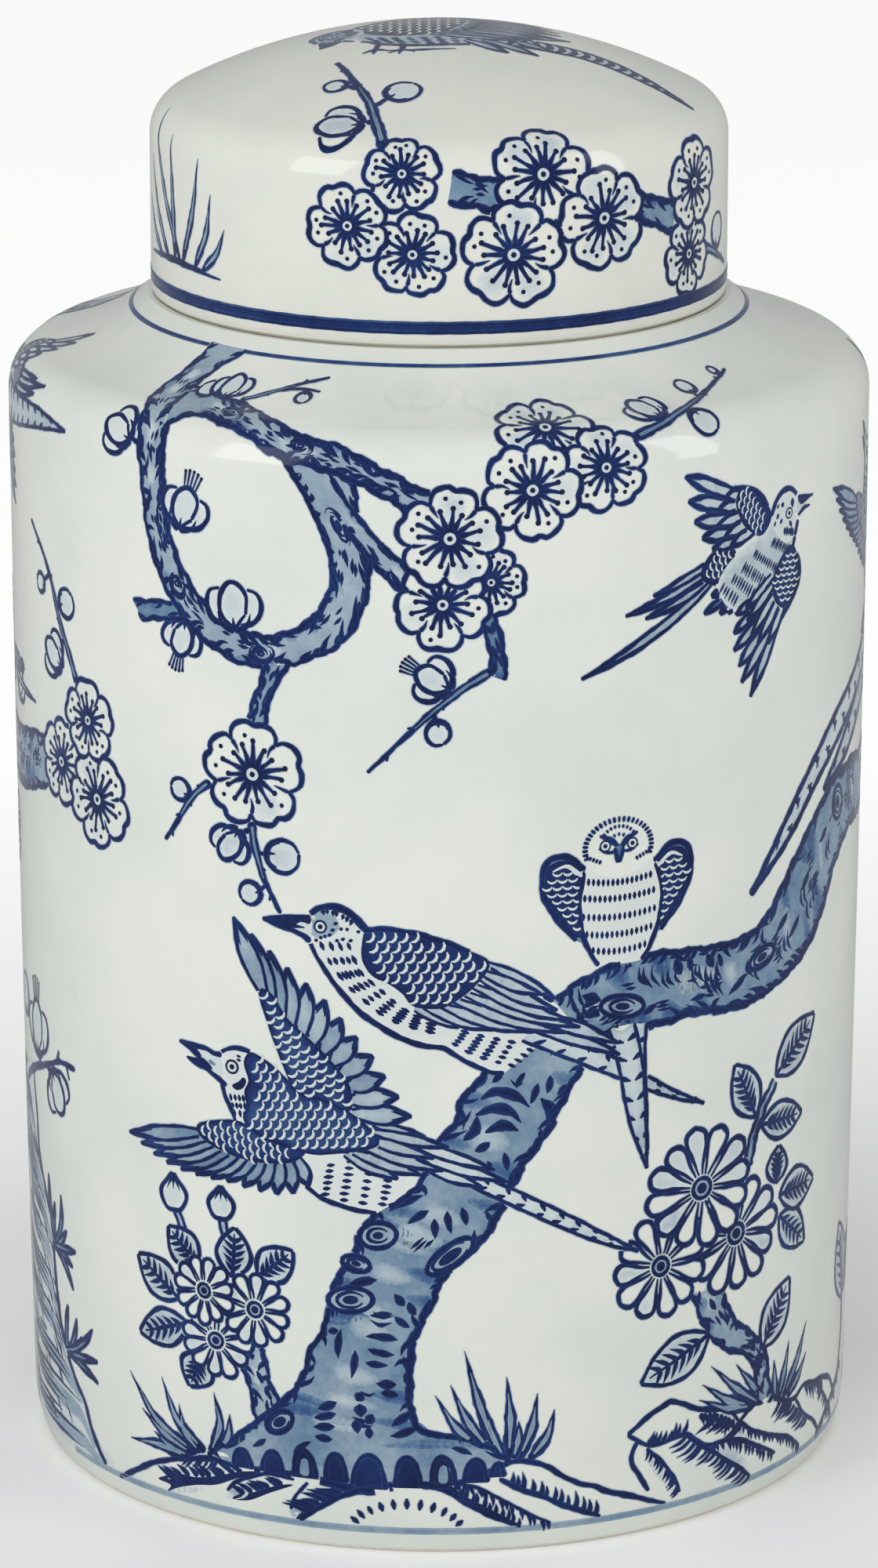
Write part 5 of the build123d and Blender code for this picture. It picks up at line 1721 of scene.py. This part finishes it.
def lid_grass(b):
    b.piece = "plum"
    b.stroke([-94+12j, -86+12.6j, -76+13j, -66+12.6j, -56+11.6j], w=(0.4, 1.2, 1.5, 1.2, 0.3))
    grass(b, ((-73+13.4j, 0.04, -90+47j), (-71.5+13.4j, -0.04, -64.3+38.5j), (-66+13j, -0.08, -59.6+31j),
        (-63+12.6j, -0.1, -54.6+23.5j), (-79.5+13j, 0.06, -93+35j), (-84+12.8j, 0.08, -96+25j),
        (-75.6+13.2j, 0, -78+42j)), w=2.2)


def dome_twig(b):
    b.piece = "dome"
    for row in ((-23.6-37.4j, 2.7, 160), (-8.2-43.6j, 4.2, 36), (-22.4-54j, 5.6, 170, 1, 0.3)):
        bud(b, *row)
    stalks(b, ((-16.4-54.4j, -14.2-55j, 1.6, 1.8), (-21-38.4j, -18.4-40.6j, 1, 1.4),
        (-11.8-46.2j, -14.2-48.8j, 1.1, 1.5)))
    twig(b, [-12.4-63.4j, -13.4-58.6j, -14.6-52.6j, -15.8-47j, -17.6-41.6j, -19.6-36j, -21.6-29.6j,
        -23.6-24.6j], 2.6, 1.1, thorns=4)


def dome_bird(b):
    """Round bodied bird on top of the lid, head bent down to the left."""
    b.piece = "dome"
    b.stroke([-27.6-12.4j, -26.4-9.6j, -27.6-6.6j], w=(0.4, 1.4, 1.2))
    b.stroke([-27.6-12.4j, -24.6-10.4j, -22.8-8j], w=(0.4, 1.4, 1.2))
    b.fill([-28-6.8j, -27.6-12j, -27.6-12j, -23.2-8.2j], 0.9)
    b.cover([-28-6.4j, -28-12.8j, -28-12.8j, -22.6-8j])
    head(b, -24.8-3.4j, 1.2)
    bars(b, [-28.6+0j, -26+2.4j, -22+3j], [-28.4-3j, -26-0.6j, -20.6+0.4j], 5, 2, 0.8, w=0.6)
    skull = [-28.4-6.6j, -29.6-2j, -28.2+2j, -24.6+4.4j, -20+3.8j, -17.6-0.6j, -18.6-6j, -22.4-8.6j]
    b.stroke(skull[:5], w=(0.9, 1.2, 1.3, 1))
    b.stroke([skull[-1], -19.6-10.6j], w=(1, 0.7))
    for z, far in ((-27.4-4.4j, 0.4+2.6j), (-26.8+0.2j, 1.8+1.8j), (-22.6+2j, 2.6+0.4j), (-21.4-4.6j, 1+2.6j),
            (-21.8-0.8j, 2+1.6j), (-24.4-7j, 2.6+0.8j), (-19.8-3j, 0.6+2.4j)):
        b.stroke([z, z + far / 2, z + far], w=(0.5, 1.5, 0.5), wobble=0)
    b.body(skull, 0.44, 0.06)
    scales(b, [-20+4j, -16+9j, -9+13.6j, -1+16.4j, 5+15j, 6+8j, 4+0j, 0-7j, -7-9.6j, -14-7j, -18-2j], 0, 3.4,
        dark=0.94)
    fan(b, [5+15j, 7+9j, 6+2j, 3-5j, -2-9j], [21+19j, 26+13j, 28.6+6j, 27.6-1j, 24-7j, 18-11.6j], 9, fat=0.42,
        tone=0.3, w=0.8, shaft=0.6)
    plumes(b, ((2+16j, 17+23j, 1.6), (-3+16.4j, 9+24.6j, 1.6), (14-9j, 30.6-1.6j, 1.4),
        (10-13j, 23-20.6j, 1.5), (6-14j, 16-21.4j, 1.5), (16-11j, 27-15.6j, 1.4)), 0.28, w=0.8)
    edges = ([12-7j, 22-9j, 34-9.6j, 45-13.6j, 58.6-23j], [12-14.6j, 22-15.6j, 34-15.6j, 45-18.4j, 58.6-23j])
    for t in np.linspace(0.08, 0.9, 15):
        p, q = (along(curve(e), [t])[0] for e in edges)
        b.stroke([p, (p + q) / 2 + 1.3, q], w=(0.9, 1.5, 0.9), wobble=0)
    tail(b, *edges, tone=0.2, w=1)
    bars(b, [-18.6-8j, -11-10.6j, -3-11.6j, 8-10j], [-15-13.4j, -9-16.6j, 0-17.6j, 9-16j], 8, (4, 5, 5), 1.8,
        w=0.8)
    body = [-20+3.6j, -15+9.8j, -8+14.8j, 2+17j, 10+14j, 16+4j, 18-8j, 14-15.4j, 6-17.4j, -4-18.4j, -12-16.4j,
        -18-11.6j, -20.4-5j]
    b.stroke(body[:4], w=(1, 1.3, 1.1, 0.8))
    b.stroke(body[7:12], w=(0.8, 1.2, 1.4, 1.2, 0.9))
    b.body(body, 0.3, 0.1)
    for foot in (-14-17j, -8-18.4j):
        b.stroke([foot + 1j, foot - 0.6 - 2.6j], w=(1.3, 1.1))
        for toe in (-3.6-4.4j, -1.2-5.4j, 2.4-4.6j):
            b.stroke([foot - 0.6 - 2.4j, foot + toe * 0.8, foot + toe], w=(1, 0.9, 0.2))
    b.stroke([-12-21j, -4-21.6j, 4-20.8j], w=(0.4, 1.1, 0.3))


# ---------------------------------------------------------------- the painting
JAR_ROUND, LID_ROUND = 2 * math.pi * JAR_CHART, 2 * math.pi * LID_CHART

front = Sheet(3)
for draw in (cuckoo, magpie, fledgling, swallow, perched_far, far_birds, plum_branch, left_edge, trunk,
        daisy_bush, chrysanthemums, right_edge, ground, cliff):
    draw(front)
rings(front, JAR_ROUND, ((295.4, 0.95, 0.8, 2), (6.4, 1.5, 0.38, 1)))
for group in ("birds", "plum", "left", "tree", "flowers", "ground", "rocks", "lines"):
    paint_piece("jar_front_" + group, front, group, jar_surface, "jar")

rear = Sheet(11)
rear.covers, rear.boxes = list(front.covers), list(front.boxes)
back(rear)
for group in ("birds", "plum", "tree", "flowers", "ground"):
    paint_piece("jar_back_" + group, rear, group, jar_surface, "jar")

cap = Sheet(5)
rings(cap, LID_ROUND, ((5.9, 0.5, 1, 4), (5.2, 2.5, 0.88, 2), (4.1, 0.5, 1, 3)))
for _ in range(2):
    lid_plum(cap)
    lid_grass(cap)
    cap.at(LID_ROUND / 2, flip=True)
for group in ("lines", "plum"):
    paint_piece("lid_side_" + group, cap, group, lid_surface, "lid")
crown = Sheet(7)
dome_bird(crown)
dome_twig(crown)
paint_piece("lid_top_bird", crown, "dome", lid_surface, "lid", mapping="above")


# ---------------------------------------------------------------- hidden CAD parts, stage, light and camera
for name, nodes, slot in (("jar_porcelain", ["jar_body"], "biscuit_porcelain"),
        ("jar_glaze", ["jar_outer_glaze"], "outer_glaze"), ("jar_inner_coat", ["jar_inner_glaze"],
        "inner_glaze"), ("jar_base_coat", ["jar_base_glaze"], "inner_glaze"),
        ("lid_porcelain", ["lid"], "biscuit_porcelain"), ("lid_glaze", ["lid_outer_glaze"], "outer_glaze"),
        ("lid_inner_coat", ["lid_inner_glaze"], "inner_glaze")):
    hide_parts(*nodes)

FLOOR = 30                        # half its width, in metres
floor_mesh = bpy.data.meshes.new("floor")
floor_mesh.from_pydata([(-FLOOR, -FLOOR, 0), (FLOOR, -FLOOR, 0), (FLOOR, FLOOR, 0), (-FLOOR, FLOOR, 0)], [],
    [range(4)])
floor = bpy.data.objects.new("floor", floor_mesh)
bpy.context.scene.collection.objects.link(floor)
# The floor glows with painted light. Its emission is weak within about 0.15 m of the middle and rises out to
# 0.6 m, which makes a painted contact shadow round the jar.
glowing_floor_look, floor_tree, floor_shader = material("floor", Roughness=0.6, Base_Color=(0.93, 0.93, 0.93, 1),
    Emission_Color=(1, 1, 1, 1))
floor_where = node(floor_tree, "ShaderNodeTexCoord").outputs["Object"]
floor_reach = node(floor_tree, "ShaderNodeVectorMath", {0: floor_where}, operation="LENGTH").outputs["Value"]
floor_tree.links.new(spread(floor_tree, floor_reach, 0.06, 0.34, 0.15, 0.6),
    floor_shader.inputs["Emission Strength"])
floor_mesh.materials.append(glowing_floor_look)
floor.visible_glossy = False


def lamp(name, kind, power, place, aim):
    """A light at a place, shining along a direction."""
    light = bpy.data.lights.new(name, kind)
    light.energy = power
    o = bpy.data.objects.new(name, light)
    o.location = place
    o.rotation_mode = "QUATERNION"
    o.rotation_quaternion = mathutils.Vector(aim).to_track_quat("-Z", "Y")
    bpy.context.scene.collection.objects.link(o)
    return light, o


MIDDLE = np.array((0, 0, 0.17))
for name, place, size, power in (("key", (-1.7, -1.5, 1.2), (1, 1.5), 10), ("fill", (1.9, -0.7, 0.9),
        (0.5, 1.8), 6)):
    softbox, _ = lamp(name, "AREA", power, place, MIDDLE - place)
    softbox.shape = "RECTANGLE"
    softbox.size, softbox.size_y = size
sun, sun_lamp = lamp("daylight", "SUN", 0.95, (0, 0, 0), (0.16, 0.55, -0.7))
sun.angle = math.radians(70)
sun_lamp.visible_glossy = False

world = bpy.data.worlds.new("studio")
bpy.context.scene.world = world
world.use_nodes = True
sky = world.node_tree.nodes["Background"]
sky.inputs["Color"].default_value = (1, 1, 1, 1)
sky.inputs["Strength"].default_value = 0.42

CAMERA_BACK, CAMERA_UP, CAMERA_DOWN, LENS = 1.5954, 0.6172, 0.28, 158.8
lens = bpy.data.cameras.new("camera")
lens.sensor_width = 36
lens.lens = LENS
camera = bpy.data.objects.new("camera", lens)
camera.location = (0, -CAMERA_BACK, CAMERA_UP)
camera.rotation_euler = (math.pi / 2 - CAMERA_DOWN, 0, 0)
bpy.context.scene.collection.objects.link(camera)
bpy.context.scene.camera = camera
bpy.context.scene.view_settings.view_transform = "Standard"
